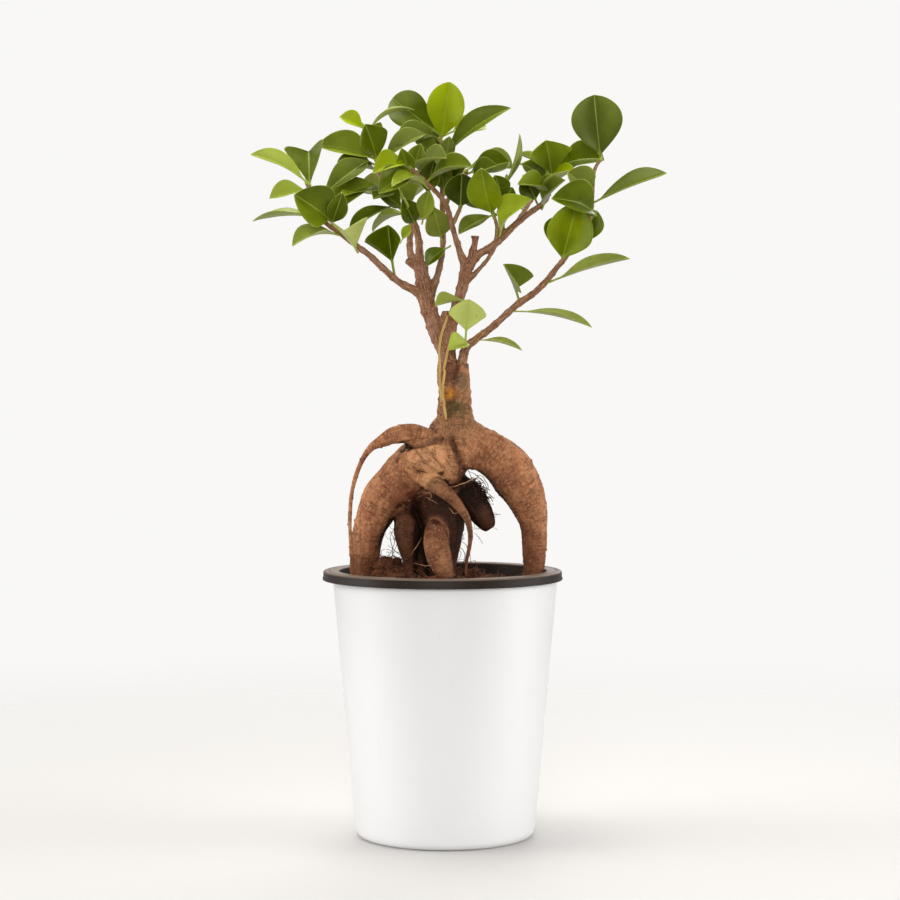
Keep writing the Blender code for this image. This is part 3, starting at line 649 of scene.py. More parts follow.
def rootFinish(settings):
    material, tree, shader = newFinish("root_bark")
    grain = attributeValue(tree, "grain", "Vector")
    place = objectPlace(tree)
    broad = noiseOf(tree, place, 55.0, 4.0, 0.6)
    fine = noiseOf(tree, place, 620.0, 4.0, 0.7)
    rings = noiseOf(tree, stretched(tree, grain, (1.7, 0.16, 0.16)), 1.0, 4.0, 0.65, 0.6)
    streaks = noiseOf(tree, stretched(tree, grain, (0.10, 0.9, 0.9)), 1.0, 3.0, 0.6)
    cracks = span(tree, rings, 0.40, 0.50, 1.0, 0.0)
    crossed = span(tree, streaks, 0.42, 0.50, 1.0, 0.0)
    creased = maths(tree, "MAXIMUM", cracks, times(tree, crossed, 0.6))
    creased = times(tree, creased, span(tree, noiseOf(tree, place, 130.0), 0.38, 0.58))
    colour = rampColour(tree, broad, ((0.28, (0.235, 0.078, 0.032)), (0.5, (0.365, 0.136, 0.058)),
                                      (0.72, (0.530, 0.235, 0.108))))
    ragged = times(tree, minus(tree, noiseOf(tree, place, 420.0, 3.0, 0.6), 0.5), 5.0)
    # painted highlight: the belly's front drawn pale tan where it faces the lamps
    colour = patched(tree, colour, ragged, settings["bellyHighlight"])
    rough = attributeValue(tree, "rough")
    colour = stained(tree, colour, rough, 0.6, settings["graftTan"])
    colour = mixColour(tree, span(tree, fine, 0.35, 0.75), colour, (0.60, 0.290, 0.145))
    colour = stained(tree, colour, creased, 0.66, (0.120, 0.036, 0.014))
    # small round dark pores
    pores = cellsOf(tree, stretched(tree, grain, (0.55, 0.75, 0.75)))
    colour = mixColour(tree, span(tree, pores, 0.16, 0.06, 0.0, 0.55), colour, (0.13, 0.055, 0.028))
    # painted shade: the inner roots under the belly drawn near black, darkest on the core; partly their own
    # darker damp skin
    colour = stained(tree, colour, attributeValue(tree, "shadeAndYouth"), 0.965, (0.028, 0.0065, 0.0035))
    # darker towards the soil, below a ragged height
    raggedHeight = plus(tree, attributeValue(tree, "height"), times(tree, broad, 6.0))
    lowDarkening = span(tree, raggedHeight, *settings["darkeningHeights"])
    colour = stained(tree, colour, lowDarkening, 0.55, (0.12, 0.036, 0.018))
    # painted shade in the hollows and creases of the skin
    colour = stained(tree, colour, attributeValue(tree, "hollowShade"), 0.75, (0.040, 0.012, 0.006))
    # painted shade: darkest where the skin itself hides most of the view around a point
    depth = plus(tree, attributeValue(tree, "creviceShade"), times(tree, broad, 0.2))
    creviceShade = span(tree, depth, settings["creviceStart"], settings["creviceEnd"])
    colour = stained(tree, colour, creviceShade, 0.94, (0.013, 0.004, 0.002))
    # grit where the graft has healed
    grit = cellsOf(tree, place, 1500.0)
    colour = stained(tree, colour, rough, span(tree, grit, 0.34, 0.66, 0.0, 0.5), (0.14, 0.055, 0.026))
    colour = stained(tree, colour, rough, span(tree, grit, 0.30, 0.10, 0.0, 0.7), (0.68, 0.42, 0.23))
    # patches of painted light and shade, and the bark's own marks
    for patch in settings["patches"]:
        colour = patched(tree, colour, ragged, patch)
    setSurface(tree, shader, colour, span(tree, fine, 0.3, 0.7, 0.52, 0.78), 0.22)
    shader.inputs["Specular Tint"].default_value = (1.0, 0.85, 0.7, 1.0)
    relief = minus(tree, times(tree, fine, 0.45), times(tree, creased, 0.8))
    relief = minus(tree, relief, times(tree, rough, grit))
    bumpOf(tree, shader, relief, 0.75, 0.00045)
    return material


def makeRuns(table, step):
    return [{"tone": tone, "samples": runSamples(placed(rows), step)} for tone, rows in table.values()]


def grownSkin(name, runs, allRings, settings):
    # the runs grown into one skin: the mesh, its edges and points, and each point's grain, tone and radius
    mesh = grownTogether(name, allRings, settings["voxel"])
    edges = edgesOf(mesh)
    points = relaxed(readVectors(mesh, "co") / mm, edges, settings["softening"])
    setPoints(mesh, points)
    return mesh, edges, points, *grainOf(points, runs)


def shapedBy(points, noiseRow):
    size, height, seed = noiseRow
    return noiseField(points, size, seed) * height


def pushShare(radius, settings):
    # thin roots and twigs are shaped less than thick ones
    return np.clip(radius / settings["fullPushRadius"], settings["leastPush"], 1.0)


def hollowShare(points, normals, edges, settings):
    # how deep each point lies below the broad shape of the skin
    below = ((relaxed(points, edges, settings["hollowRounds"]) - points) * normals).sum(1)
    return smoothStep(below, *settings["hollowDepths"])


def makeRootstock(settings):
    runs = makeRuns(settings["runs"], settings["step"])
    allRings = []
    for number, run in enumerate(runs):
        rings = runRings(run["samples"], settings["sides"])
        swell = noiseField(rings.reshape(-1, 3), settings["swellSize"], number + 1).reshape(rings.shape[:2])
        centres = run["samples"][:, None, :3]
        allRings.append(centres + (rings - centres) * (1.0 + swell * settings["swelling"])[:, :, None])
    mesh, edges, points, grain, tone, radius = grownSkin("rootstock", runs, allRings, settings)
    rough = smoothStep(points[:, 2], settings["graftLow"], settings["graftLow"] + settings["graftFade"])
    rough *= 1.0 - smoothStep(points[:, 2], settings["graftHigh"],
                              settings["graftHigh"] + settings["graftFade"])
    rough *= smoothStep(-np.abs(points[:, 0] - settings["graftCentre"]), *settings["graftReach"])
    push = shapedBy(points, settings["lumps"]) + shapedBy(grain, settings["wrinkles"])
    push += shapedBy(grain, settings["rings"])
    push += shapedBy(points, settings["graftLumps"]) * rough
    crease = np.zeros(len(points))
    for width, depth, way in settings["creases"]:
        near = wayDistance(points[:, [0, 2]] - (plantShift, 0), np.array(way, float))
        near = np.exp(-(near / width) ** 2) * smoothStep(-points[:, 1], *settings["creaseFront"])
        push -= near * depth
        crease = np.maximum(crease, near)
    points, normals = pushedOut(mesh, points, push * pushShare(radius, settings))
    hollowShade = np.maximum(hollowShare(points, normals, edges, settings), crease * settings["creaseShade"])
    enclosed = enclosedShare(mesh, settings["creviceRays"], settings["creviceReach"])
    for name, values in (("grain", grain), ("shadeAndYouth", relaxed(tone, edges, settings["toneRounds"])),
                         ("hollowShade", relaxed(hollowShade, edges, settings["shadeRounds"])),
                         ("height", points[:, 2]), ("rough", rough),
                         ("creviceShade", relaxed(enclosed, edges, settings["creviceRounds"]))):
        writeAttribute(mesh, name, values)
    return newPiece("rootstockBark", mesh, rootFinish(settings), ("rootstock",))


rootstock = makeRootstock(rootSettings)
print("rootstock:", len(rootstock.data.polygons), "faces")


# Grafts: the thin stems, branches and twigs, (youth of the bark, rows)
graftSettings = {
    "voxel": 0.36, "quickVoxel": 0.6, "step": 0.8, "sides": 14, "softening": 2,
    "nodeSpacing": 7.5, "nodeShift": 2.3, "nodeSwelling": 0.16, "nodeWidth": 0.9,
    "lumps": (3.2, 0.34, 11), "wrinkles": ((7.0, 1.0, 1.0), 0.16, 13), "rings": ((0.9, 4.0, 4.0), 0.12, 15),
    "fullPushRadius": 3.0, "leastPush": 0.25, "toneRounds": 10, "hollowRounds": 16,
    "hollowDepths": (0.12, 0.7), "mainRuns": {
        "stem": (0.0, ((3.6, 0, 226, 5.2), (2.4, 0, 240, 4.3), (2.4, 0, 249, 3.9), (5.2, 0, 259, 3.1),
                       (8.0, 0, 268, 2.6), (10.8, 0, 278, 3.0), (12.2, 0, 286, 3.2))),
        "cutSpur": (0.0, ((2.6, -0.5, 249, 3.2), (1.2, -1, 257, 2.7), (1.4, -1, 262.5, 1.5))),
        "leftLimb": (0.0, ((1.0, 0, 243, 3.9), (-3.4, 0.5, 253, 4.0), (-8.0, 1, 268, 4.1),
                           (-9.8, 3, 278, 3.8), (-11.6, 4, 287, 3.2))),
        "leftFork": (0.15, ((-11.6, 4, 285, 2.4), (-11.8, 5, 297, 1.8), (-14.4, 6, 307, 1.6),
                            (-18.5, 7, 312, 1.4), (-26, 7, 321, 1.3), (-31, 8, 330, 1.2),
                            (-33.5, 8, 339, 1.1), (-36.5, 8.5, 348, 1.0), (-40, 9, 355.5, 0.8))),
        "backFork": (0.15, ((-12, 4, 284, 2.2), (-16, 11, 291, 1.8), (-16.6, 16, 298, 1.6),
                            (-15.8, 22, 307, 1.4), (-17, 29, 313, 1.2), (-18, 35, 319, 0.9))),
        "leftSpur": (0.0, ((-12, 4, 284, 2.5), (-17.4, 1, 288, 2.0))),
        "sideShoot": (0.15, ((-9, 2, 270, 2.6), (-14, -1, 273, 2.2), (-21.4, -5, 276.6, 1.8),
                             (-29, -10, 283, 1.7), (-36, -15, 289.6, 1.5), (-42, -18, 294, 1.4),
                             (-49.4, -21, 299.4, 1.3), (-57.4, -24, 305.4, 1.2), (-62.4, -26, 314, 1.0),
                             (-66.2, -26, 324, 0.85))),
        "tallShoot": (0.2, ((-7, 1.5, 268, 2.4), (-2.6, 5, 280.5, 1.7), (-0.5, 8, 290, 1.5),
                            (0.2, 11, 300, 1.4), (-0.3, 12, 320, 1.2), (-0.7, 12, 338, 1.05),
                            (-0.9, 12, 352.5, 0.85))),
        "tallBack": (0.4, ((-0.2, 12, 312, 1.2), (4, 20, 322, 1.1), (9, 30, 330, 1.0), (11, 36, 335, 0.8))),
        "middleLeft": (0.15, ((11.4, 0, 284, 2.2), (8.0, -2, 294, 1.6), (4.6, -5, 305, 1.35),
                              (2.2, -8, 314, 1.25), (-1.4, -10, 319, 1.2), (-6.4, -13, 324, 1.1),
                              (-12, -15, 329, 0.95), (-15.4, -16, 332.6, 0.8))),
        "middleBack": (0.4, ((4.6, -5, 304.5, 1.2), (8.8, -3, 314, 1.0), (11, 1, 325, 0.95),
                             (12, 4, 332, 0.8))),
        "middleSpur": (0.0, ((13.0, 0, 284, 2.4), (14.8, 0, 291, 1.9), (16, 0, 296.5, 1.6),
                             (16.2, 0, 300, 2.0))),
        "rightLimb": (0.1, ((12.8, 0, 284.5, 2.8), (17.6, 1, 290.4, 2.1), (24, 2, 294.4, 1.9),
                            (29.4, 2, 299, 1.8), (36, 2, 305.4, 1.6), (43.6, 2, 311.6, 1.5),
                            (49, 2, 315.4, 1.35), (52.6, 2, 320, 1.2), (55, 3, 328.5, 1.0),
                            (56.4, 4, 333.5, 0.8))),
        "rightLower": (0.2, ((12.6, -1, 277.5, 1.5), (18.8, -1.5, 284, 1.05), (22.6, 0, 288.6, 1.0),
                             (26.6, 1.5, 295.6, 1.1))),
        "rightBack": (0.4, ((36, 2, 305, 1.3), (41, 12, 313, 1.1), (45.4, 22, 320, 1.0),
                            (47.4, 27, 323, 0.8))),
        "shortUp": (0.6, ((26.5, 2, 296.4, 1.3), (27.2, 1.5, 304, 1.0), (25.4, 1, 311, 0.8))),
        "thinUp": (0.7, ((29.4, 2, 299, 1.3), (30.4, 3.5, 312, 1.0), (31.4, 4, 322, 0.95),
                         (32, 4, 329, 0.8))),
    },
    "rightRuns": {
        "rightStem": (0.1, ((8.4, -1.5, 230.5, 3.0), (11.2, -2, 243, 2.2), (16, -4, 248, 1.85),
                            (24.4, -6, 254.2, 1.75), (36.6, -10, 265.2, 1.7), (45, -13, 271, 1.6),
                            (51.6, -15, 277.4, 1.5), (56.4, -17, 283.6, 1.4), (59.8, -18, 287.6, 1.35),
                            (63.4, -18, 293, 1.25))),
        "rightTip": (0.75, ((63.4, -18, 293, 1.25), (68.8, -17, 301, 1.2), (73, -15, 310, 1.1),
                            (74, -13, 321.4, 1.0), (74.8, -12, 331, 0.95), (77.8, -12, 337, 0.8))),
    },
    # dark cut ends of the spurs: (centre, radius)
    "cutEnds": (((16.4, 0, 301.6), 1.9), ((-18.4, 0.6, 288.9), 1.8), ((1.4, -1, 263.6), 1.7)),
    "cutColour": (0.050, 0.020, 0.014),
}


def twigFinish(settings):
    material, tree, shader = newFinish("twig_bark")
    grain = attributeValue(tree, "grain", "Vector")
    place = objectPlace(tree)
    broad = noiseOf(tree, place, 90.0, 4.0, 0.6)
    fine = noiseOf(tree, place, 900.0, 4.0, 0.7)
    streaks = noiseOf(tree, stretched(tree, grain, (0.22, 2.2, 2.2)), 1.0, 4.0, 0.65)
    rings = noiseOf(tree, stretched(tree, grain, (1.5, 0.5, 0.5)), 1.0, 3.0, 0.6)
    old = rampColour(tree, streaks, ((0.36, (0.085, 0.024, 0.012)), (0.50, (0.265, 0.100, 0.044)),
                                     (0.66, (0.540, 0.290, 0.160))))
    young = rampColour(tree, streaks, ((0.30, (0.16, 0.115, 0.030)), (0.70, (0.38, 0.30, 0.10))))
    colour = mixColour(tree, attributeValue(tree, "shadeAndYouth"), old, young)
    colour = mixColour(tree, span(tree, broad, 0.40, 0.70, 0.0, 0.45), colour, (0.36, 0.20, 0.13))
    colour = mixColour(tree, span(tree, rings, 0.44, 0.34, 0.0, 0.5), colour, (0.07, 0.028, 0.016))
    # pale corky dots
    dots = cellsOf(tree, stretched(tree, grain, (0.50, 0.85, 0.85)))
    colour = mixColour(tree, span(tree, dots, 0.22, 0.12, 0.0, 0.7), colour, (0.46, 0.30, 0.19))
    # painted shade in the hollows of the bark
    colour = stained(tree, colour, attributeValue(tree, "hollowShade"), 0.6, (0.045, 0.018, 0.012))
    for centre, radius in settings["cutEnds"]:
        colour = patched(tree, colour, minus(tree, fine, 0.5),
                         (centre, radius, 0.5, settings["cutColour"], 0.85))
    setSurface(tree, shader, colour, span(tree, fine, 0.3, 0.7, 0.50, 0.72), 0.35)
    relief = plus(tree, times(tree, streaks, 0.7), times(tree, fine, 0.3))
    bumpOf(tree, shader, relief, 0.7, 0.0003)
    return material


def makeGraft(name, table, settings, material, node):
    runs = makeRuns(table, settings["step"])
    allRings = []
    for number, run in enumerate(runs):
        samples = run["samples"].copy()
        along = np.arange(len(samples)) * settings["step"] + number * settings["nodeShift"]
        offset = (along % settings["nodeSpacing"]) - settings["nodeSpacing"] / 2
        samples[:, 3] *= 1.0 + settings["nodeSwelling"] * np.exp(-(offset / settings["nodeWidth"]) ** 2)
        allRings.append(runRings(samples, settings["sides"]))
    mesh, edges, points, grain, tone, radius = grownSkin(name, runs, allRings, settings)
    push = shapedBy(points, settings["lumps"]) + shapedBy(grain, settings["wrinkles"])
    push += shapedBy(grain, settings["rings"])
    points, normals = pushedOut(mesh, points, push * pushShare(radius, settings))
    writeAttribute(mesh, "grain", grain)
    writeAttribute(mesh, "shadeAndYouth", relaxed(tone, edges, settings["toneRounds"]))
    writeAttribute(mesh, "hollowShade", hollowShare(points, normals, edges, settings))
    return newPiece(name + "Bark", mesh, material, (node,))


twigBark = twigFinish(graftSettings)
mainGraft = makeGraft("mainGraft", graftSettings["mainRuns"], graftSettings, twigBark, "main_graft")
rightGraft = makeGraft("rightGraft", graftSettings["rightRuns"], graftSettings, twigBark, "right_graft")
print("grafts:", len(mainGraft.data.polygons), "and", len(rightGraft.data.polygons), "faces")


# Leaves. A tone is (brightness, painted sheen, share of the length that is stalk, share where it is widest).
# The brightness is mostly painted light and shade, lit leaves drawn bright and leaves in shade dark; the
# sheen is a painted reflection that makes a leaf paler and greyer.
leafSettings = {
    "rows": 34, "thickness": 0.46, "edgeThickness": 0.16, "ribDepth": 0.20, "ribWidth": 0.45,
    "stalkHalf": 0.5, "stalkHeight": 0.95, "footLength": 1.5, "usualWidest": 0.63,
    "roundTip": 0.62, "pointedTip": 0.86, "broadLeaf": 8.3,
    "foldGain": 1.45, "foldChance": (0.0, 0.16), "foldSoftness": 0.012, "cupping": 0.16,
    "curl": (-0.02, 0.10), "sidewaysBend": 0.035, "twist": 7.0, "waveHeight": 0.30, "waveCount": 9.0,
    "waveLag": 0.9, "shadeAlong": 0.20, "shadeAcross": 0.10, "toneChance": 0.03,
    "columns": (-1.0, -0.94, -0.8, -0.6, -0.4, -0.2, -0.07, 0.0, 0.07, 0.2, 0.4, 0.6, 0.8, 0.94, 1.0),
    # each leaf: foot, tip, width, tilt towards the front, lean to the right, fold, arch, then its tone
    "leaves": {
        "left_end_1": ((-65.2, -26, 323.6), (-93.3, -28, 337.8), 10.5, 40, 0, 22, 0.10, (0.80, 0.35, 0.09)),
        "left_end_2": ((-64.7, -26, 321.6), (-66, -9, 341), 20, 118, 0, 30, 0.02, (0.44, 0.0, 0.09, 0.74)),
        "left_shoot_1": ((-54.5, -23.6, 305.2), (-71.5, -38, 317.5), 21, 72, -8, 24, 0.14,
                         (0.48, 0.05, 0.09)),
        "left_shoot_2": ((-58.8, -24.5, 307.2), (-93, -20, 306), 12, 14, 0, 12, 0.07, (0.60, 0.4, 0.09)),
        "left_shoot_3": ((-50, -21.5, 298.8), (-72.6, -36, 292.8), 12.5, 34, -14, 20, 0.13,
                         (0.62, 0.45, 0.09)),
        "left_shoot_4": ((-42, -18, 291.4), (-47.5, -36, 300.5), 20, -58, 8, 28, 0.04,
                         (0.80, 0.75, 0.10, 0.76)),
        "left_shoot_5": ((-60.4, -25.4, 316), (-37.5, -6, 336.2), 12.5, 54, 0, 18, 0.05, (0.40, 0.2, 0.09)),
        "left_fork_1": ((-27, 7, 322.5), (-57, -8, 308.5), 15, 42, 0, 18, 0.26, (0.50, 0.1, 0.09)),
        "left_fork_2": ((-25, 7, 319.5), (-51, -13, 318), 13, 24, 0, 12, 0.10, (0.84, 0.1, 0.09)),
        "left_fork_3": ((-24, 6, 315.6), (-46, -10, 302.4), 9, 38, 0, 20, 0.05, (0.42, 0.1, 0.09)),
        "left_fork_4": ((-33, 8, 335.6), (-53, -8, 326), 13, 40, 0, 20, 0.20, (0.46, 0.25, 0.09)),
        "left_fork_5": ((-33.5, 8, 338.5), (-62.5, -2, 344.5), 15, 60, 0, 28, 0.09, (0.62, 0.20, 0.06, 0.55)),
        "left_fork_6": ((-33, 7, 338), (-38.4, -5, 355), 16, 88, 20, 22, 0.06, (0.48, 0.0, 0.05, 0.70)),
        "left_fork_7": ((-39, 9, 353.6), (-51.5, 6, 359.8), 10, 52, 0, 22, 0.08, (0.92, 0.0, 0.09)),
        "left_fork_8": ((-38, 9, 352), (-14, 6, 363), 8, 6, 0, 10, 0.16, (0.60, 0.8, 0.09)),
        "left_fork_9": ((-19, 5, 310), (-22, -10, 324), 14, 60, 25, 30, 0.06, (0.80, 0.3, 0.09, 0.76)),
        "left_fork_10": ((-23.8, -7, 280.5), (-26.8, -14, 304.5), 18.5, 58, -12, 38, 0.05,
                         (0.38, 0.0, 0.26, 0.80)),
        "top_1": ((-0.9, 12, 351), (-25.6, 20, 370.4), 19, 80, -10, 14, 0.07, (0.40, 0.0, 0.09)),
        "top_2": ((-0.8, 12, 348), (3.6, 3, 376.8), 18.8, 92, 0, 14, 0.06, (0.88, 0.0, 0.06)),
        "top_3": ((-0.8, 12, 347), (-24.5, -2, 344.5), 15, 48, 0, 16, 0.24, (0.30, 0.25, 0.09)),
        "top_4": ((-0.7, 12, 338), (34, 1, 363.6), 13.5, 48, 0, 20, 0.10, (0.42, 0.1, 0.09)),
        "top_5": ((-0.9, 12, 350), (22, 26, 357), 13.5, 48, 0, 12, 0.10, (0.80, 0.0, 0.24)),
        "middle_left_1": ((-8, -13.6, 325.6), (14.6, -29, 331.8), 14, 44, 0, 22, 0.09, (0.50, 0.15, 0.09)),
        "middle_left_2": ((-15.5, -16, 332), (-34, -27, 328.6), 13, 46, 0, 26, 0.18, (0.80, 0.0, 0.09)),
        "middle_left_3": ((-13.5, -15.6, 329), (-31, -31, 318.6), 14, 60, 0, 20, 0.14, (0.48, 0.1, 0.09)),
        "middle_left_4": ((-7.4, -13.4, 322.6), (-24.5, -36, 321.5), 11, 30, 0, 18, 0.16, (0.72, 0.1, 0.09)),
        "middle_back_1": ((12, 4, 331), (33.4, 12, 337.6), 15, 60, 0, 18, 0.04, (0.38, 0.0, 0.09)),
        "middle_back_2": ((8.8, -4, 313), (9.6, -12, 330), 17, 95, 0, 14, 0.05, (0.15, 0.0, 0.06)),
        "right_limb_1": ((25.2, 0.4, 309.8), (19, -19, 332), 17, 84, -15, 14, 0.08, (0.62, 0.0, 0.08)),
        "right_limb_2": ((25.8, 1, 310.5), (8, -14, 300), 10, 42, 0, 18, 0.05, (0.42, 0.35, 0.09)),
        "right_limb_3": ((28.4, 2, 299), (44, -16, 317), 15, 50, -10, 26, 0.14, (0.84, 0.1, 0.12)),
        "right_limb_4": ((29.8, 4.5, 323), (38.4, 2, 350.8), 8.5, 30, 62, 14, 0.06, (0.50, 0.6, 0.09)),
        "right_limb_5": ((53, 3, 326), (39.8, 4, 336), 10, 60, 0, 18, 0.12, (0.34, 0.1, 0.09)),
        "right_limb_6": ((51.2, 2, 317.4), (65, -20, 331), 14, 40, 0, 20, 0.10, (0.78, 0.0, 0.09)),
        "right_limb_7": ((55, 3, 328.5), (51.2, -5, 347), 21.5, 96, 6, 34, 0.02, (0.56, 0.1, 0.09, 0.80)),
        "right_limb_8": ((56.4, 4, 333), (80, -8, 337), 18, 56, 0, 16, 0.14, (0.34, 0.0, 0.09)),
        "right_shoot_1": ((73.4, -12, 317), (61, -22, 329.5), 17, 62, 0, 14, 0.10, (0.42, 0.45, 0.09)),
        "right_shoot_2": ((74.6, -15.6, 309.4), (52.8, -36, 315.8), 18, 70, 0, 26, 0.15, (0.44, 0.0, 0.08)),
        "right_shoot_3": ((58.6, -17.6, 286.5), (65.8, -23, 314.6), 22.5, 90, 0, 22, 0.07,
                          (0.62, 0.0, 0.04, 0.50)),
        "right_shoot_4": ((59, -18, 287), (55.6, -8, 309), 13, 92, 0, 14, 0.06, (0.34, 0.0, 0.08)),
        "right_shoot_5": ((63, -17.5, 292), (76.6, -10, 311.5), 14, 80, 10, 14, 0.08, (0.32, 0.0, 0.08)),
        "right_shoot_6": ((73.6, -14, 315), (110, -18, 329.6), 11, 38, 0, 22, 0.03, (0.46, 0.2, 0.09)),
        "right_shoot_7": ((77.8, -12, 337), (74.4, -17, 368), 25, 94, 0, 14, 0.06, (0.32, 0.2, 0.05)),
        "right_shoot_8": ((49.6, -14.6, 275), (91.5, -24, 287.4), 12, 28, 0, 18, 0.035, (0.62, 0.55, 0.20)),
        "right_shoot_9": ((32.6, -8.6, 262), (73, -24, 254), 9, 18, 0, 18, 0.06, (0.64, 0.55, 0.20)),
        "right_shoot_10": ((38, -10.4, 266.4), (29.8, -20, 285), 15.5, 50, 25, 34, 0.04,
                           (0.40, 0.15, 0.34, 0.42)),
        "right_shoot_11": ((11.2, -2.4, 245.5), (13, -17, 267.8), 18.5, 78, 0, 12, 0.06,
                           (1.0, 0.85, 0.34, 0.78)),
        "right_shoot_12": ((15, -3.8, 247.6), (39, -16, 242.8), 6, 12, 0, 14, 0.08, (0.62, 0.55, 0.18)),
        "back_1": ((-18, 35, 319), (-44, 46, 326), 18, -40, 0, 16, 0.12, (0.45, 0.0, 0.09)),
        "back_2": ((-18, 35, 319), (-6, 60, 332), 17, -62, 0, 16, 0.10, (0.38, 0.0, 0.09)),
        "back_3": ((11, 36, 335), (36, 52, 338), 18, -30, 0, 16, 0.12, (0.5, 0.0, 0.09)),
        "back_4": ((47.4, 27, 323), (60, 50, 333), 17, -40, 0, 16, 0.12, (0.4, 0.0, 0.09)),
    },
    # the smaller leaves between them, the same way
    "small": (
        ((-65.3, -26, 320.6), (-83.5, -36, 316), 10, 58, -10, 22, 0.08, (0.74, 0.3, 0.10)),
        ((-54.4, -23.5, 303.6), (-48.4, -34, 319), 10, 75, 10, 18, 0.08, (0.38, 0.1, 0.10)),
        ((-30, 2, 337.5), (-8.5, -6, 349.5), 13, 52, 0, 16, 0.10, (0.42, 0.5, 0.09)),
        ((-1, 14, 341), (-10, 18, 358), 15, 95, 0, 14, 0.05, (0.20, 0.0, 0.09)),
        ((-2, 10, 337), (-13.5, -2, 346.5), 11, 60, 0, 16, 0.08, (0.36, 0.2, 0.09)),
        ((1, 13, 336), (3.5, 6, 350), 8, 70, 0, 14, 0.05, (0.42, 0.6, 0.09)),
        ((-12, -15, 329), (2, -34, 335.5), 15, 48, 0, 16, 0.12, (0.40, 0.3, 0.09)),
        ((-10, 0, 307), (-6.5, -10, 322), 9, 80, 0, 16, 0.06, (0.62, 0.2, 0.09)),
        ((-0.3, 10, 297), (-5, -4, 314), 14, 75, 0, 18, 0.08, (0.50, 0.3, 0.20)),
        ((-20.5, 2, 297.5), (-16, 0, 305.5), 5, 70, 0, 20, 0.05, (0.80, 0.1, 0.09)),
        ((-26, 6, 321), (-34, -12, 317.4), 11, 60, 0, 18, 0.06, (0.36, 0.0, 0.09)),
        ((-20, 7, 313), (-33, -2, 322), 12, 60, 0, 18, 0.10, (0.44, 0.1, 0.09)),
        ((-14, 6, 306), (-20, -8, 318), 11, 78, 0, 20, 0.08, (0.40, 0.0, 0.09)),
        ((60, -18, 289), (58, -10, 302), 9, 90, 0, 18, 0.06, (0.40, 0.0, 0.09)),
        ((26, 1, 311), (12, 6, 322), 14, 70, 0, 18, 0.10, (0.34, 0.0, 0.09)),
        ((57, 4, 330), (68, -4, 336), 12, 60, 0, 20, 0.10, (0.52, 0.0, 0.09)),
        ((55.6, 3, 330), (38.5, 17, 337), 8, 34, 0, 20, 0.04, (0.60, 0.5, 0.09)),
        ((51.5, 2, 318), (37, -14, 324.5), 13, 50, 0, 20, 0.16, (0.66, 0.1, 0.09)),
        ((47, 4, 317), (40, -4, 330), 12, 85, 0, 16, 0.06, (0.28, 0.0, 0.09)),
        ((31, 4, 318), (26, -2, 330), 11, 85, 0, 14, 0.06, (0.34, 0.1, 0.09)),
        ((11, 36, 335), (-8, 56, 337), 16, -50, 0, 16, 0.08, (0.45, 0.0, 0.09)),
        ((12, -4, 267.6), (-3.5, -10, 264.8), 12, 24, 0, 14, 0.06, (0.66, 0.5, 0.12)),
        ((13.5, -4, 246), (3, -13, 243), 11, 56, 0, 24, 0.12, (0.88, 0.4, 0.10)),
        ((-8, -4, 320), (-4, -12, 336.6), 11, 84, 0, 26, 0.06, (0.34, 0.1, 0.09)),
        ((1, 8, 322), (-1.5, -2, 337), 10, 86, 0, 24, 0.06, (0.46, 0.1, 0.09)),
        ((3, 9, 324), (12, -4, 335.5), 11, 60, 0, 24, 0.06, (0.30, 0.0, 0.09)),
        ((-16, -10, 330), (-20, -22, 341.5), 10, 66, -10, 26, 0.08, (0.62, 0.1, 0.09)),
        ((-14, -8, 332), (-10.5, -14, 344.4), 9, 70, 0, 26, 0.08, (0.44, 0.2, 0.09)),
        ((-33, 7, 333), (-46, -3, 333.4), 10, 46, 0, 26, 0.08, (0.34, 0.1, 0.09)),
        ((14, -1, 328), (27, -10, 334), 10, 50, 0, 24, 0.08, (0.40, 0.1, 0.09)),
        ((50, 1, 314), (60, -20, 326), 13, 62, 0, 30, 0.08, (0.42, 0.2, 0.09)),
        ((-34, 10, 348), (-31, 6, 357), 7, 80, 0, 18, 0.06, (0.50, 0.0, 0.09)),
        ((0, 12, 338), (5, 18, 350), 7, 70, 0, 14, 0.06, (0.55, 0.0, 0.09)),
        ((3, -4, 294), (-7.8, -8, 284.5), 9, 50, 0, 20, 0.14, (0.36, 0.0, 0.12)),
        ((28, 3, 313), (35, 0, 324), 11, 80, 0, 14, 0.06, (0.38, 0.0, 0.09)),
        ((55, 5, 333), (37.5, 14, 342), 7, 30, 0, 20, 0.05, (0.44, 0.1, 0.09)),
        ((73, -13, 319), (70, -8, 333), 9, 85, 0, 14, 0.06, (0.44, 0.0, 0.09)),
        ((-17, 29, 313), (-36, 34, 304), 15, 20, 0, 14, 0.14, (0.42, 0.0, 0.09)),
        ((-16, 22, 307), (-2, 38, 312), 15, -50, 0, 14, 0.12, (0.40, 0.0, 0.09)),
        ((41, 12, 313), (26, 34, 318), 16, -46, 0, 14, 0.12, (0.42, 0.0, 0.09)),
        ((-0.5, 12, 345), (-12, 36, 352), 16, -50, 0, 14, 0.10, (0.40, 0.0, 0.09)),
        ((-26, 7, 321), (-34, 26, 333), 15, -50, 0, 14, 0.10, (0.46, 0.0, 0.09)),
        ((9, 30, 330), (20, 43, 322), 14, 10, 0, 14, 0.14, (0.48, 0.0, 0.09)),
    ),
}


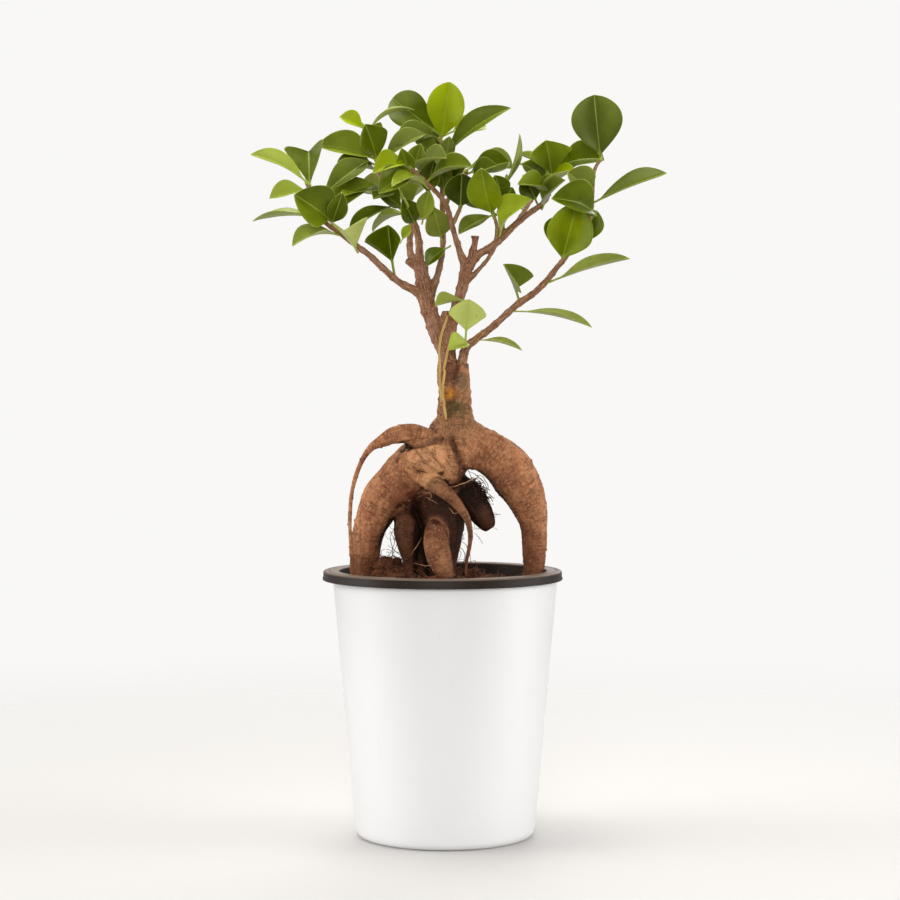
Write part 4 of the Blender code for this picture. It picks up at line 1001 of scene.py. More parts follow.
def leafFinish():
    material, tree, shader = newFinish("leaf_skin")
    place = objectPlace(tree)
    names = ("tone", "paintedSheen", "underside", "fromRib", "fromEdge", "along")
    tone, sheenShare, under, fromRib, fromEdge, along = (attributeValue(tree, name) for name in names)
    cloud = noiseOf(tree, place, 75.0, 3.0, 0.55)
    speckle = noiseOf(tree, place, 1500.0, 2.0, 0.5)
    # side veins run forward from the midrib
    slant = plus(tree, minus(tree, along, times(tree, fromRib, 0.62)), times(tree, cloud, 2.2))
    wave = maths(tree, "SINE", times(tree, slant, 3.6))
    veins = span(tree, plus(tree, wave, times(tree, speckle, 0.4)), 0.80, 1.15)
    shade = plus(tree, tone, times(tree, minus(tree, cloud, 0.5), 0.44))
    # painted light and shade: the tone sets how bright each leaf is drawn
    colour = rampColour(tree, shade, ((0.05, (0.022, 0.032, 0.0)), (0.32, (0.060, 0.088, 0.0)),
                                      (0.52, (0.134, 0.178, 0.001)), (0.75, (0.262, 0.328, 0.001)),
                                      (0.98, (0.400, 0.500, 0.002))))
    # painted reflection: a paler, greyer green laid over a leaf as its sheen; the same colour gives the paler
    # undersides
    sheenAndUnderside = rampColour(tree, shade, ((0.1, (0.120, 0.135, 0.028)), (0.5, (0.280, 0.312, 0.072)),
                                     (0.9, (0.560, 0.620, 0.185))))
    colour = mixColour(tree, sheenShare, colour, sheenAndUnderside)
    colour = stained(tree, colour, under, 0.62, sheenAndUnderside)
    colour = stained(tree, colour, veins, 0.06, (0.26, 0.34, 0.03))
    colour = stained(tree, colour, span(tree, fromRib, 0.42, 0.14), 0.45, (0.42, 0.50, 0.08))
    colour = stained(tree, colour, span(tree, fromEdge, 0.30, 0.06), 0.38, (0.42, 0.48, 0.08))
    blemish = span(tree, noiseOf(tree, place, 210.0, 2.0), 0.735, 0.78, 0.0, 0.55)
    colour = mixColour(tree, blemish, colour, (0.20, 0.10, 0.03))
    setSurface(tree, shader, colour, span(tree, cloud, 0.3, 0.7, 0.27, 0.37), 0.26)
    shader.inputs["Specular Tint"].default_value = (0.88, 1.0, 0.45, 1.0)
    relief = plus(tree, times(tree, veins, -0.12), times(tree, speckle, 0.3))
    bumpOf(tree, shader, relief, 0.35, 0.00012)
    return material


def bladeShare(t, stalk, wide, blunt):
    # share of the full width along the blade: a wedge from the stalk, then a round or pointed tip
    rise = np.clip((t - stalk) / (wide - stalk), 0, 1)
    straight = np.clip((wide - 0.63) / 0.15, 0, 1)
    early = np.sin(rise * math.pi / 2) ** 1.12 * (1 - straight) + rise ** 1.1 * straight
    late = (1.0 - np.clip((t - wide) / (1.0 - wide), 0, 1) ** 2.1) ** blunt
    return np.where(t < wide, early, late)


def leafFrame(row):
    # the leaf's foot and chord, the side and face directions across it, its half width, arch and fold
    foot, tip, width, tilt, lean, fold, arch = row[:7]
    foot = np.array(foot, float) + (plantShift, 0, 0)
    chord = np.array(tip, float) + (plantShift, 0, 0) - foot
    tilt, lean = math.radians(tilt), math.radians(lean)
    length = np.linalg.norm(chord)
    along = chord / length
    face = np.array((math.sin(lean), -math.sin(tilt) * math.cos(lean), math.cos(tilt) * math.cos(lean)))
    face -= along * (face @ along)
    face /= np.linalg.norm(face)
    side = np.cross(along, face)
    return foot, chord, length, side, face, width / 2, 4 * arch * length, math.tan(math.radians(fold))


def makeLeaf(name, row, settings, material, seed, node=None):
    chance = random.Random(seed)
    foot, chord, length, side, face, halfWidth, archHeight, fold = leafFrame(row)
    paintedLight, paintedSheen, stalk, wide = (*row[7], settings["usualWidest"])[:4]
    rows, u = settings["rows"], np.array(settings["columns"])
    columns, outward = len(u), np.abs(u)
    # stations along the leaf, closer together towards the tip, and from a little inside the twig
    lead = -settings["footLength"] / length
    even = np.linspace(0, 1, rows)
    t = lead + (1.0 - lead) * (even * 0.55 + (1.0 - (1.0 - even) ** 1.5) * 0.45)
    forward = np.maximum(t, 0)
    blunt = settings["roundTip"] if halfWidth > settings["broadLeaf"] else settings["pointedTip"]
    blade = bladeShare(t, stalk, wide, blunt) * halfWidth
    slender = min(1.0, halfWidth / 6.0)
    stalkHalf = settings["stalkHalf"] * slender
    inStalk = (1.0 - smoothStep(t, stalk * 0.8, stalk + 0.22))[:, None]
    half = np.where(t < 0.5, (blade ** 3 + stalkHalf ** 3) ** (1 / 3), blade)
    half = np.maximum(half, 0.05)[:, None]
    bend = chance.uniform(-settings["sidewaysBend"], settings["sidewaysBend"]) * length
    turn = (math.radians(chance.uniform(-settings["twist"], settings["twist"])) * forward)[:, None]
    wavePhase = chance.uniform(0, 6.28)
    curl = chance.uniform(*settings["curl"])
    foldSlope = fold * settings["foldGain"] + chance.uniform(*settings["foldChance"])
    middle = foot + chord * t[:, None] + face * (archHeight * forward * (1 - t))[:, None]
    middle = middle + side * (bend * forward ** 2 * (1 - t))[:, None]
    sideAt = side * np.cos(turn) + face * np.sin(turn)
    faceAt = face * np.cos(turn) - side * np.sin(turn)
    # height of the surface over the middle line: a soft fold, a little cupping and curl, and a wavy edge
    softFold = np.sqrt(u ** 2 + settings["foldSoftness"]) - math.sqrt(settings["foldSoftness"])
    lift = half * (softFold * foldSlope + settings["cupping"] * u ** 2 - curl * u ** 4)
    wave = np.sin(t[:, None] * settings["waveCount"] + wavePhase + np.sign(u) * settings["waveLag"])
    lift = lift + wave * settings["waveHeight"] * u ** 2 * np.minimum(half / 5.0, 1.0) * (1 - inStalk)
    across = half * u
    surface = middle[:, None] + sideAt[:, None] * across[:, :, None] + faceAt[:, None] * lift[:, :, None]
    normal = np.cross(np.gradient(surface, axis=1), np.gradient(surface, axis=0))
    normal /= np.maximum(np.linalg.norm(normal, axis=2), 1e-9)[:, :, None]
    if normal[rows // 2, columns // 2] @ face < 0:
        normal = -normal
    rib = np.exp(-(across / settings["ribWidth"]) ** 2) * (1 - smoothStep(t, 0.72, 0.98))[:, None]
    rib = rib * (1 - inStalk) * settings["ribDepth"]
    thick = (settings["thickness"] - settings["edgeThickness"]) * np.clip((1 - outward) * 6, 0, 1)
    stalkThick = 0.04 + settings["stalkHeight"] * np.sqrt(np.clip(1 - u ** 2, 0, 1)) * slender
    thick = (settings["edgeThickness"] + thick) * (1 - inStalk) + stalkThick * inStalk
    top = surface + normal * (thick / 2 - rib)[:, :, None]
    bottom = surface - normal * (thick / 2 + rib * 1.6)[:, :, None]
    points = np.vstack([top.reshape(-1, 3), bottom.reshape(-1, 3)])
    mesh = turnOutwards(meshOf(name, points, sheetFaces(rows, columns)))
    uvs = np.tile(np.stack([np.tile((u + 1) / 2, rows), np.repeat(t, columns)], axis=1), (2, 1))
    corners = np.zeros(len(mesh.loops), np.int32)
    mesh.loops.foreach_get("vertex_index", corners)
    mesh.uv_layers.new(name="blade").data.foreach_set("uv", uvs[corners].astype(np.float32).ravel())
    shade = chance.uniform(-1, 1) * settings["shadeAlong"] * (t[:, None] - 0.5)
    shade = shade + chance.uniform(-1, 1) * settings["shadeAcross"] * u
    tone = paintedLight + chance.uniform(-settings["toneChance"], settings["toneChance"]) + shade
    for key, values in (("fromRib", np.abs(across) * (1 - inStalk)), ("tone", tone),
                        ("along", t[:, None] * length), ("fromEdge", half * (1 - outward) + inStalk * 2.0),
                        ("paintedSheen", np.array(paintedSheen))):
        writeAttribute(mesh, key, np.tile(np.broadcast_to(values, (rows, columns)).ravel(), 2))
    writeAttribute(mesh, "underside", np.repeat((0.0, 1.0), rows * columns))
    return newPiece(name, mesh, material, (node,) if node else ())


leafSkin = leafFinish()
leaves = [("leafBlade_" + key, row, "leaf_" + key) for key, row in leafSettings["leaves"].items()]
leaves += [("smallLeaf_%d" % number, row, None) for number, row in enumerate(leafSettings["small"], 1)]
for seed, (name, row, node) in enumerate(leaves, 1):
    makeLeaf(name, row, leafSettings, leafSkin, seed, node)
print("leaves:", len(leaves))

# Pointed buds at the ends of the shoots
budSettings = {"length": 4.6, "radius": 0.85, "rings": 9, "sides": 8, "thickestTwig": 0.92,
               # the leaf finish's values on a bud
               "skin": {"tone": 0.80, "paintedSheen": 0.35, "underside": 0.0, "fromRib": 3.0, "fromEdge": 3.0,
                        "along": 0.0}}


def makeBuds(settings, tables):
    allRings = []
    for table in tables:
        for _, rows in table.values():
            if rows[-1][3] > settings["thickestTwig"]:
                continue
            before, last = np.array(placed(rows[-2:]))
            heading = (last - before)[:3] / np.linalg.norm((last - before)[:3])
            heading = heading * 0.8 + np.array((0.0, 0.0, 0.2))
            share = np.linspace(0, 1, settings["rings"])
            swell = np.sin(np.clip(share * 1.25 + 0.22, 0, 1) * math.pi) ** 0.6 * settings["radius"] + 0.06
            swell[-1] = 0.05
            line = last[None, :3] + heading[None] * (share * settings["length"] - 0.8)[:, None]
            allRings.append(runRings(np.hstack([line, swell[:, None]]), settings["sides"]))
    mesh = turnOutwards(meshOfRings("shootBuds", allRings))
    for key, value in settings["skin"].items():
        writeAttribute(mesh, key, np.full(len(mesh.vertices), value))
    return newPiece("shootBuds", mesh, leafSkin)


makeBuds(budSettings, (graftSettings["mainRuns"], graftSettings["rightRuns"]))


# The pots, turned from a profile of radius and height

def arcPoints(centre, radius, startAngle, endAngle, count):
    angles = np.radians(np.linspace(startAngle, endAngle, count + 1))
    return [(centre[0] + radius * math.cos(angle), centre[1] + radius * math.sin(angle)) for angle in angles]


def turnedMesh(name, profile, steps, centreX=0.0):
    work = bmesh.new()
    verts = [work.verts.new((radius * mm, 0.0, height * mm)) for radius, height in profile]
    edges = [work.edges.new(pair) for pair in zip(verts, verts[1:])]
    bmesh.ops.spin(work, geom=verts + edges, cent=(0, 0, 0), axis=(0, 0, 1), angle=2 * math.pi, steps=steps,
                   use_merge=True, use_duplicate=False)
    bmesh.ops.remove_doubles(work, verts=work.verts, dist=0.00001)
    bmesh.ops.recalc_face_normals(work, faces=work.faces)
    for vert in work.verts:
        vert.co.x += centreX * mm
    return meshFrom(work, name)


def nodeRadius(node, low, high, centreX=0.0):
    # widest radius of a CAD node between two heights
    points = readVectors(frame["nodes"][node].data, "co") / mm
    points = points[(points[:, 2] >= low) & (points[:, 2] <= high)]
    return np.hypot(points[:, 0] - centreX, points[:, 1]).max()


coverSettings = {"corner": 4.6, "wall": 1.7, "floor": 2.4, "innerCorner": 3.0, "steps": 144,
                 "lipRoundness": 6, "cornerRoundness": 9}
nurserySettings = {"wall": 1.0, "wallTop": 52.7, "wallRings": 8, "shoulder": 3.6, "innerCorner": 3.0,
                   "thickness": 1.6, "skirt": 4.6, "edge": 0.9, "topEdge": 0.7, "bead": 0.35, "chamfer": 2.4,
                   "grooveRadius": 57.3, "grooveDepth": 0.35, "grooveWidth": 0.8, "steps": 144,
                   "drainCount": 6, "drainRadius": 3.5, "drainCircle": 24.0, "drainTurn": 7.0}
sharpAngle = math.radians(40)


def whitePlasticFinish():
    material, tree, shader = newFinish("white_plastic")
    place = objectPlace(tree)
    cloud = noiseOf(tree, place, 16.0, 3.0, 0.5)
    grain = noiseOf(tree, place, 1300.0, 2.0, 0.6)
    marks = noiseOf(tree, objectPlace(tree, (420.0, 420.0, 26.0)), 1.0, 3.0, 0.6, 0.4)
    colour = mixColour(tree, cloud, (0.785, 0.785, 0.795), (0.82, 0.82, 0.83))
    colour = mixColour(tree, span(tree, marks, 0.66, 0.80, 0.0, 0.30), colour, (0.70, 0.695, 0.69))
    setSurface(tree, shader, colour, span(tree, cloud, 0.3, 0.7, 0.40, 0.50), 0.4)
    bumpOf(tree, shader, plus(tree, grain, times(tree, marks, 0.4)), 0.12, 0.00008)
    return material


def darkPlasticFinish(centreX):
    material, tree, shader = newFinish("dark_plastic")
    place = objectPlace(tree)
    cloud = noiseOf(tree, place, 60.0, 4.0, 0.6)
    dust = noiseOf(tree, place, 520.0, 4.0, 0.7)
    # fine turned lines follow the rim
    turned = tree.nodes.new("ShaderNodeTexWave")
    turned.wave_type = "RINGS"
    turned.rings_direction = "Z"
    tree.links.new(objectPlace(tree, centre=(centreX * mm, 0, 0)), turned.inputs["Vector"])
    turned.inputs["Scale"].default_value = 420.0
    turned.inputs["Distortion"].default_value = 0.6
    colour = mixColour(tree, cloud, (0.010, 0.0056, 0.0038), (0.018, 0.0104, 0.0072))
    height = tree.nodes.new("ShaderNodeSeparateXYZ")
    tree.links.new(place, height.inputs[0])
    facingUp = span(tree, height.outputs[2], (rimTop - 1.0) * mm, (rimTop - 0.2) * mm)
    colour = stained(tree, colour, facingUp, 0.85, (0.185, 0.130, 0.095))
    colour = mixColour(tree, span(tree, dust, 0.56, 0.80, 0.0, 0.16), colour, (0.140, 0.100, 0.074))
    setSurface(tree, shader, colour, span(tree, cloud, 0.3, 0.7, 0.38, 0.50), 0.19)
    bumpOf(tree, shader, plus(tree, times(tree, turned.outputs["Fac"], 0.5), dust), 0.3, 0.00010)
    return material


def makeCoverPot(settings):
    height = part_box("cover_pot")[1].z / mm
    corner, wall, floor, bend = (settings[key] for key in ("corner", "wall", "floor", "innerCorner"))
    topRadius = nodeRadius("cover_pot", height - 2, height)
    cornerRadius = nodeRadius("cover_pot", corner - 0.2, corner + 0.2)
    slope = (topRadius - cornerRadius) / (height - wall / 2 - corner)
    baseRadius = cornerRadius - slope * corner
    innerFloor = baseRadius + slope * floor - wall
    profile = [(0.0, floor)]
    profile += arcPoints((innerFloor - bend, floor + bend), bend, -90, 0, 6)
    profile += arcPoints((topRadius - wall / 2, height - wall / 2), wall / 2, 180, 0,
                         settings["lipRoundness"])
    profile += arcPoints((cornerRadius - corner, corner), corner, 0, -90, settings["cornerRoundness"])
    profile += [(0.0, 0.0)]
    mesh = turnedMesh("coverPot", profile, settings["steps"])
    return newPiece("coverPotShell", mesh, whitePlasticFinish(), ("cover_pot",))


def drainCutters(settings, centreX, floorHeight):
    radius = settings["drainRadius"] * mm
    cutters = []
    for index in range(settings["drainCount"]):
        angle = math.radians(settings["drainTurn"] + 360.0 * index / settings["drainCount"])
        x, y = settings["drainCircle"] * math.cos(angle), settings["drainCircle"] * math.sin(angle)
        work = bmesh.new()
        bmesh.ops.create_cone(work, cap_ends=True, segments=24, radius1=radius, radius2=radius, depth=8 * mm)
        for vert in work.verts:
            vert.co += Vector((centreX + x, y, floorHeight)) * mm
        cutters.append(addObject("drain", meshFrom(work, "drain")))
    return cutters


def makeNurseryPot(settings):
    low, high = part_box("nursery_pot")
    top, floorHeight, centreX = high.z / mm, low.z / mm, plantShift
    outer = (high.x - low.x) / 2 / mm
    wall, wallTop, corner = settings["wall"], settings["wallTop"], settings["innerCorner"]
    baseRadius = nodeRadius("nursery_pot", floorHeight + 1.5, floorHeight + 3.5, centreX)
    edge, topEdge, chamfer = settings["edge"], settings["topEdge"], settings["chamfer"]
    skirtRadius, skirtEnd = outer - settings["bead"], top - settings["skirt"]
    under, inner = top - settings["thickness"], skirtRadius - settings["thickness"] + 0.3
    groove, deep, wide = settings["grooveRadius"], settings["grooveDepth"], settings["grooveWidth"]
    inside, widening, rise = baseRadius - wall, wallTop - baseRadius, top - settings["shoulder"] - floorHeight
    rings = settings["wallRings"]
    # from the middle of the floor up the inside, over the grooved rim and its bead, and down the outside
    profile = [(0.0, floorHeight + wall), (baseRadius - corner, floorHeight + wall),
               (inside, floorHeight + corner)]
    profile += [(inside + widening * k / rings, floorHeight + corner + rise * k / rings)
                for k in range(1, rings + 1)]
    profile += arcPoints((wallTop - wall + topEdge, top - topEdge), topEdge, 180, 90, 4)[1:]
    profile += [(groove - wide, top), (groove - wide * 0.6, top - deep),
                (groove - wide * 0.1, top - deep), (groove + wide * 0.2, top - 0.05)]
    profile += arcPoints((skirtRadius - edge, top - edge - 0.05), edge, 90, 0, 6)
    profile += [(skirtRadius, skirtEnd + 1.5), (outer, skirtEnd + 1.0), (outer, skirtEnd + 0.25),
                (outer - 0.25, skirtEnd), (inner, skirtEnd), (inner, under), (wallTop, under),
                (baseRadius, floorHeight + chamfer), (baseRadius - chamfer, floorHeight), (0.0, floorHeight)]
    pot = addObject("nurseryPotTurned", turnedMesh("nurseryPot", profile, settings["steps"], centreX))
    cutters = drainCutters(settings, centreX, floorHeight)
    for cutter in cutters:
        cut = pot.modifiers.new("drain", "BOOLEAN")
        cut.operation = "DIFFERENCE"
        cut.object = cutter
    finished = shapedMesh(pot)
    for item in cutters + [pot]:
        bpy.data.objects.remove(item)
    return newPiece("nurseryPotShell", finished, darkPlasticFinish(centreX), ("nursery_pot",))


coverPot = makeCoverPot(coverSettings)
nurseryPot = makeNurseryPot(nurserySettings)
for pot in (coverPot, nurseryPot):
    pot.data.set_sharp_from_angle(angle=sharpAngle)
print("pots turned")


# Soil, with clods of peat on it
soilSettings = {
    "belowRim": 5.6, "rings": 84, "sectors": 240, "scatterMargin": 1.2,
    "mounds": ((-26, -10, 2.6, 20.5), (6, -18, 1.6, 22.4), (30, 18, -1.2, 17.3)),
    "lumpSize": 5.0, "lumpHeight": 0.9, "grainSize": 1.3, "grainHeight": 0.55,
    "collarHeight": 1.3, "collarWidth": 3.0,
    # clods: (centre x, y, z, half sizes)
    "clods": (((-27, 5, 131.5), (8.0, 6.5, 7.2)), ((-20.5, -3, 130.0), (4.6, 4.4, 4.0)),
              ((-31, -6, 130.0), (5.0, 4.0, 3.4)), ((-24, -16, 130.2), (4.4, 3.6, 2.6)),
              ((0.5, 9, 130.0), (5.0, 4.5, 4.4)), ((-5, -24, 129.2), (4.0, 3.2, 2.2)),
              ((20, -16, 128.6), (3.4, 3.0, 2.2)), ((15, 12, 129.4), (5.0, 4.2, 3.2)),
              ((-18, 28, 129.4), (5.4, 4.4, 3.4)), ((30, -18, 128.2), (2.8, 2.4, 1.8)),
              ((-2, -33, 128.4), (3.0, 2.6, 1.8))),
}


def soilHeights(x, y, settings):
    level = rimTop - settings["belowRim"]
    height = np.full_like(x, level)
    for centreX, centreY, rise, reach in settings["mounds"]:
        height += rise * np.exp(-((x - centreX) ** 2 + (y - centreY) ** 2) / reach ** 2)
    for _, rows in rootSettings["runs"].values():
        samples = runSamples(rows, 1.5)
        crossing = samples[np.abs(samples[:, 2] - level).argmin()]
        if abs(crossing[2] - level) < 3:
            # a root goes into the soil here, and the soil is drawn up round it
            gap = np.hypot(x - crossing[0], y - crossing[1]) - crossing[3]
            height += settings["collarHeight"] * np.exp(-(np.maximum(gap, 0) / settings["collarWidth"]) ** 2)
    return height


def soilFinish(name, dark, mid, light):
    material, tree, shader = newFinish(name)
    place = objectPlace(tree)
    broad = noiseOf(tree, place, 150.0, 4.0, 0.65)
    fine = noiseOf(tree, place, 900.0, 4.0, 0.7)
    blend = plus(tree, times(tree, broad, 0.6), times(tree, fine, 0.4))
    colour = rampColour(tree, blend, ((0.36, dark), (0.52, mid), (0.68, light)))
    setSurface(tree, shader, colour, span(tree, fine, 0.3, 0.7, 0.78, 0.98), 0.2)
    bumpOf(tree, shader, fine, 0.9, 0.0005)
    return material


def makeSoil(settings, material):
    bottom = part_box("soil")[0].z / mm
    top = rimTop - settings["belowRim"]
    edge = nodeRadius("soil", top - 3, top + 3, plantShift)
    lowEdge = nodeRadius("soil", bottom - 1, bottom + 8, plantShift)
    rings, sectors = settings["rings"], settings["sectors"]
    radii = edge * (np.arange(1, rings + 1) / rings)
    angles = np.arange(sectors) * 2 * math.pi / sectors
    x, y = (radii[:, None] * np.cos(angles)[None]).ravel(), (radii[:, None] * np.sin(angles)[None]).ravel()
    z = soilHeights(x, y, settings)
    surface = np.stack([x, y, np.zeros_like(x)], axis=1)
    z += noiseField(surface, settings["lumpSize"], 21) * settings["lumpHeight"]
    z += noiseField(surface, settings["grainSize"], 23, 3) * settings["grainHeight"]
    middle = soilHeights(np.zeros(1), np.zeros(1), settings)[0]
    points = [(0.0, 0.0, middle)] + list(zip(x, y, z))
    start = len(points)
    for radius, height in ((lowEdge, bottom + 6.0), (lowEdge * 0.9, bottom)):
        points += [(radius * math.cos(angle), radius * math.sin(angle), height) for angle in angles]
    faces = [(0, 1 + k, 1 + (k + 1) % sectors) for k in range(sectors)]
    faces += [(a, d, c, b) for a, b, c, d in ringFaces(1, rings + 2, sectors)]
    faces.append(tuple(start + sectors + k for k in reversed(range(sectors))))
    points = np.array(points) + (plantShift, 0, 0)
    mesh = meshOf("soil", points, faces)
    # crumbs and fibres are spread over the open top only
    openSoil = np.hypot(points[:, 0] - plantShift, points[:, 1]) < edge - settings["scatterMargin"]
    writeAttribute(mesh, "spread", ((points[:, 2] > top - 3) & openSoil).astype(float))
    return newPiece("soilBed", mesh, material, ("soil",))


def makeClods(settings, material):
    work = bmesh.new()
    for number, (centre, sizes) in enumerate(settings["clods"]):
        lump = bmesh.new()
        bmesh.ops.create_icosphere(lump, subdivisions=5, radius=1.0)
        for vert in lump.verts:
            direction = vert.co.normalized()
            swell = 1.0 + 0.34 * noise.fractal(direction * 1.5 + Vector((number * 3.1, 0, 0)), 1.0, 2.0, 3)
            swell += 0.13 * noise.fractal(direction * 6.0 + Vector((0, number * 2.7, 0)), 1.0, 2.0, 3)
            place = Vector([part * size for part, size in zip(direction * swell, sizes)])
            vert.co = (place + Vector(centre) + Vector((plantShift, 0, 0))) * mm
        part = meshFrom(lump, "clod")
        work.from_mesh(part)
        bpy.data.meshes.remove(part)
    mesh = meshFrom(work, "peatClods")
    aboveSoil = readVectors(mesh, "co")[:, 2] / mm > rimTop - settings["belowRim"] + 1
    writeAttribute(mesh, "spread", aboveSoil.astype(float))
    return newPiece("peatClods", mesh, material)


soilBed = makeSoil(soilSettings, soilFinish("potting_soil", (0.010, 0.004, 0.0025), (0.040, 0.016, 0.009),
                                            (0.115, 0.048, 0.024)))
peatClods = makeClods(soilSettings, soilFinish("peat_clod", (0.045, 0.014, 0.007), (0.160, 0.055, 0.024),
                                               (0.32, 0.125, 0.056)))
print("soil:", len(soilBed.data.polygons), "faces")


# Geometry Nodes: grains and fibres scattered over a surface

def newTree(name, inputs):
    tree = bpy.data.node_groups.new(name, "GeometryNodeTree")
    tree.interface.new_socket("Geometry", in_out="INPUT", socket_type="NodeSocketGeometry")
    for label, kind in inputs.items():
        tree.interface.new_socket(label, in_out="INPUT", socket_type="NodeSocket" + kind)
    tree.interface.new_socket("Geometry", in_out="OUTPUT", socket_type="NodeSocketGeometry")
    return tree, tree.nodes.new("NodeGroupInput").outputs, tree.nodes.new("NodeGroupOutput").inputs


def treeNode(tree, kind, options=None, **inputs):
    node = tree.nodes.new(kind)
    for key, value in (options or {}).items():
        setattr(node, key, value)
    for key, value in inputs.items():
        plug(tree, node.inputs[key.replace("_", " ")], value)
    return node


def vectorMaths(tree, operation, first, second):
    node = treeNode(tree, "ShaderNodeVectorMath", {"operation": operation})
    plug(tree, node.inputs[0], first)
    plug(tree, node.inputs["Scale" if operation == "SCALE" else 1], second)
    return node.outputs[0]


def randomVector(tree, seed, low, high):
    node = treeNode(tree, "FunctionNodeRandomValue", {"data_type": "FLOAT_VECTOR"}, Seed=seed)
    plug(tree, node.inputs[0], low)
    plug(tree, node.inputs[1], high)
    return node.outputs[0]


def randomNumber(tree, seed, low, high):
    node = treeNode(tree, "FunctionNodeRandomValue", {"data_type": "FLOAT"}, Seed=seed)
    plug(tree, node.inputs[2], low)
    plug(tree, node.inputs[3], high)
    return node.outputs[1]


def scatterPoints(tree, given):
    mask = treeNode(tree, "GeometryNodeInputNamedAttribute", {"data_type": "FLOAT"}, Name=given["Mask"])
    return treeNode(tree, "GeometryNodeDistributePointsOnFaces", Mesh=given["Geometry"],
                    Density=times(tree, mask.outputs[0], given["Density"]), Seed=given["Seed"])


def realInstances(tree, points, shape, scale, rotation):
    # the shape on every point, turned against the surface and made real
    instances = treeNode(tree, "GeometryNodeInstanceOnPoints", Points=points.outputs["Points"],
                         Instance=shape,
                         Rotation=points.outputs["Rotation"], Scale=scale)
    turned = treeNode(tree, "GeometryNodeRotateInstances", Instances=instances.outputs[0], Rotation=rotation)
    return treeNode(tree, "GeometryNodeRealizeInstances", Geometry=turned.outputs[0]).outputs[0]


def roughened(tree, geometry, size, amount):
    # moves points by a noise of the given size
    place = treeNode(tree, "GeometryNodeInputPosition").outputs[0]
    texture = treeNode(tree, "ShaderNodeTexNoise", Vector=place, Scale=maths(tree, "DIVIDE", 1.0, size),
                       Detail=1.0)
    centred = vectorMaths(tree, "SUBTRACT", texture.outputs["Color"], (0.5, 0.5, 0.5))
    offset = vectorMaths(tree, "SCALE", centred, amount)
    return treeNode(tree, "GeometryNodeSetPosition", Geometry=geometry, Offset=offset).outputs[0]


def finishTree(tree, geometry, given, result):
    finished = treeNode(tree, "GeometryNodeSetMaterial", Geometry=geometry, Material=given["Finish"])
    tree.links.new(finished.outputs[0], result[0])
    return tree


def grainTree():
    inputs = {"Mask": "String", "Density": "Float", "Smallest": "Float", "Largest": "Float",
              "Flatness": "Float", "Seed": "Int", "Finish": "Material"}
    tree, given, result = newTree("scattered_grains", inputs)
    ball = treeNode(tree, "GeometryNodeMeshIcoSphere", Radius=1.0, Subdivisions=1).outputs[0]
    # most grains are near the smallest size
    share = maths(tree, "POWER", randomNumber(tree, plus(tree, given["Seed"], 1), 0.0, 1.0), 2.5)
    spread = minus(tree, given["Largest"], given["Smallest"])
    size = plus(tree, given["Smallest"], times(tree, share, spread))
    proportions = randomVector(tree, plus(tree, given["Seed"], 2), (0.75, 0.75, 0.75), (1.35, 1.35, 1.35))
    flat = treeNode(tree, "ShaderNodeCombineXYZ", X=1.0, Y=1.0, Z=given["Flatness"]).outputs[0]
    sized = vectorMaths(tree, "SCALE", vectorMaths(tree, "MULTIPLY", proportions, flat), size)
    rotation = randomVector(tree, plus(tree, given["Seed"], 3), (-0.4, -0.4, 0.0), (0.4, 0.4, 6.28))
    real = realInstances(tree, scatterPoints(tree, given), ball, sized, rotation)
    rough = roughened(tree, real, times(tree, given["Largest"], 0.9), times(tree, given["Largest"], 0.55))
    return finishTree(tree, rough, given, result)


def fibreTree():
    inputs = {"Mask": "String", "Density": "Float", "Shortest": "Float", "Longest": "Float",
              "Thickness": "Float", "Rise": "Float", "Curl": "Float", "Seed": "Int", "Finish": "Material"}
    tree, given, result = newTree("scattered_fibres", inputs)
    bow = treeNode(tree, "ShaderNodeCombineXYZ", X=0.5, Y=0.12, Z=given["Rise"]).outputs[0]
    strand = treeNode(tree, "GeometryNodeCurveQuadraticBezier", Resolution=9, Start=(0, 0, -0.05), Middle=bow,
                      End=(1, 0, 0.02)).outputs[0]
    length = randomNumber(tree, plus(tree, given["Seed"], 1), given["Shortest"], given["Longest"])
    rotation = randomVector(tree, plus(tree, given["Seed"], 3), (-0.5, -0.7, 0.0), (0.5, 0.1, 6.28))
    real = realInstances(tree, scatterPoints(tree, given), strand, length, rotation)
    curled = roughened(tree, real, times(tree, given["Longest"], 0.35), given["Curl"])
    profile = treeNode(tree, "GeometryNodeCurvePrimitiveCircle", Resolution=5, Radius=given["Thickness"])
    tube = treeNode(tree, "GeometryNodeCurveToMesh", Curve=curled, Profile_Curve=profile.outputs[0],
                    Fill_Caps=True)
    return finishTree(tree, tube.outputs[0], given, result)


def scatter(name, tree, surface, values, material):
    host = addObject(name + "_host", surface.data.copy())
    modifier = host.modifiers.new("scatter", "NODES")
    modifier.node_group = tree
    values = dict(values, Finish=material)
    for item in tree.interface.items_tree:
        if item.in_out == "INPUT" and item.name in values:
            modifier[item.identifier] = values[item.name]
    mesh = shapedMesh(host)
    host.modifiers.clear()
    bpy.data.objects.remove(host)
    mesh.name = name
    print("  ", name, len(mesh.polygons), "faces")
    return newPiece(name, mesh, material)


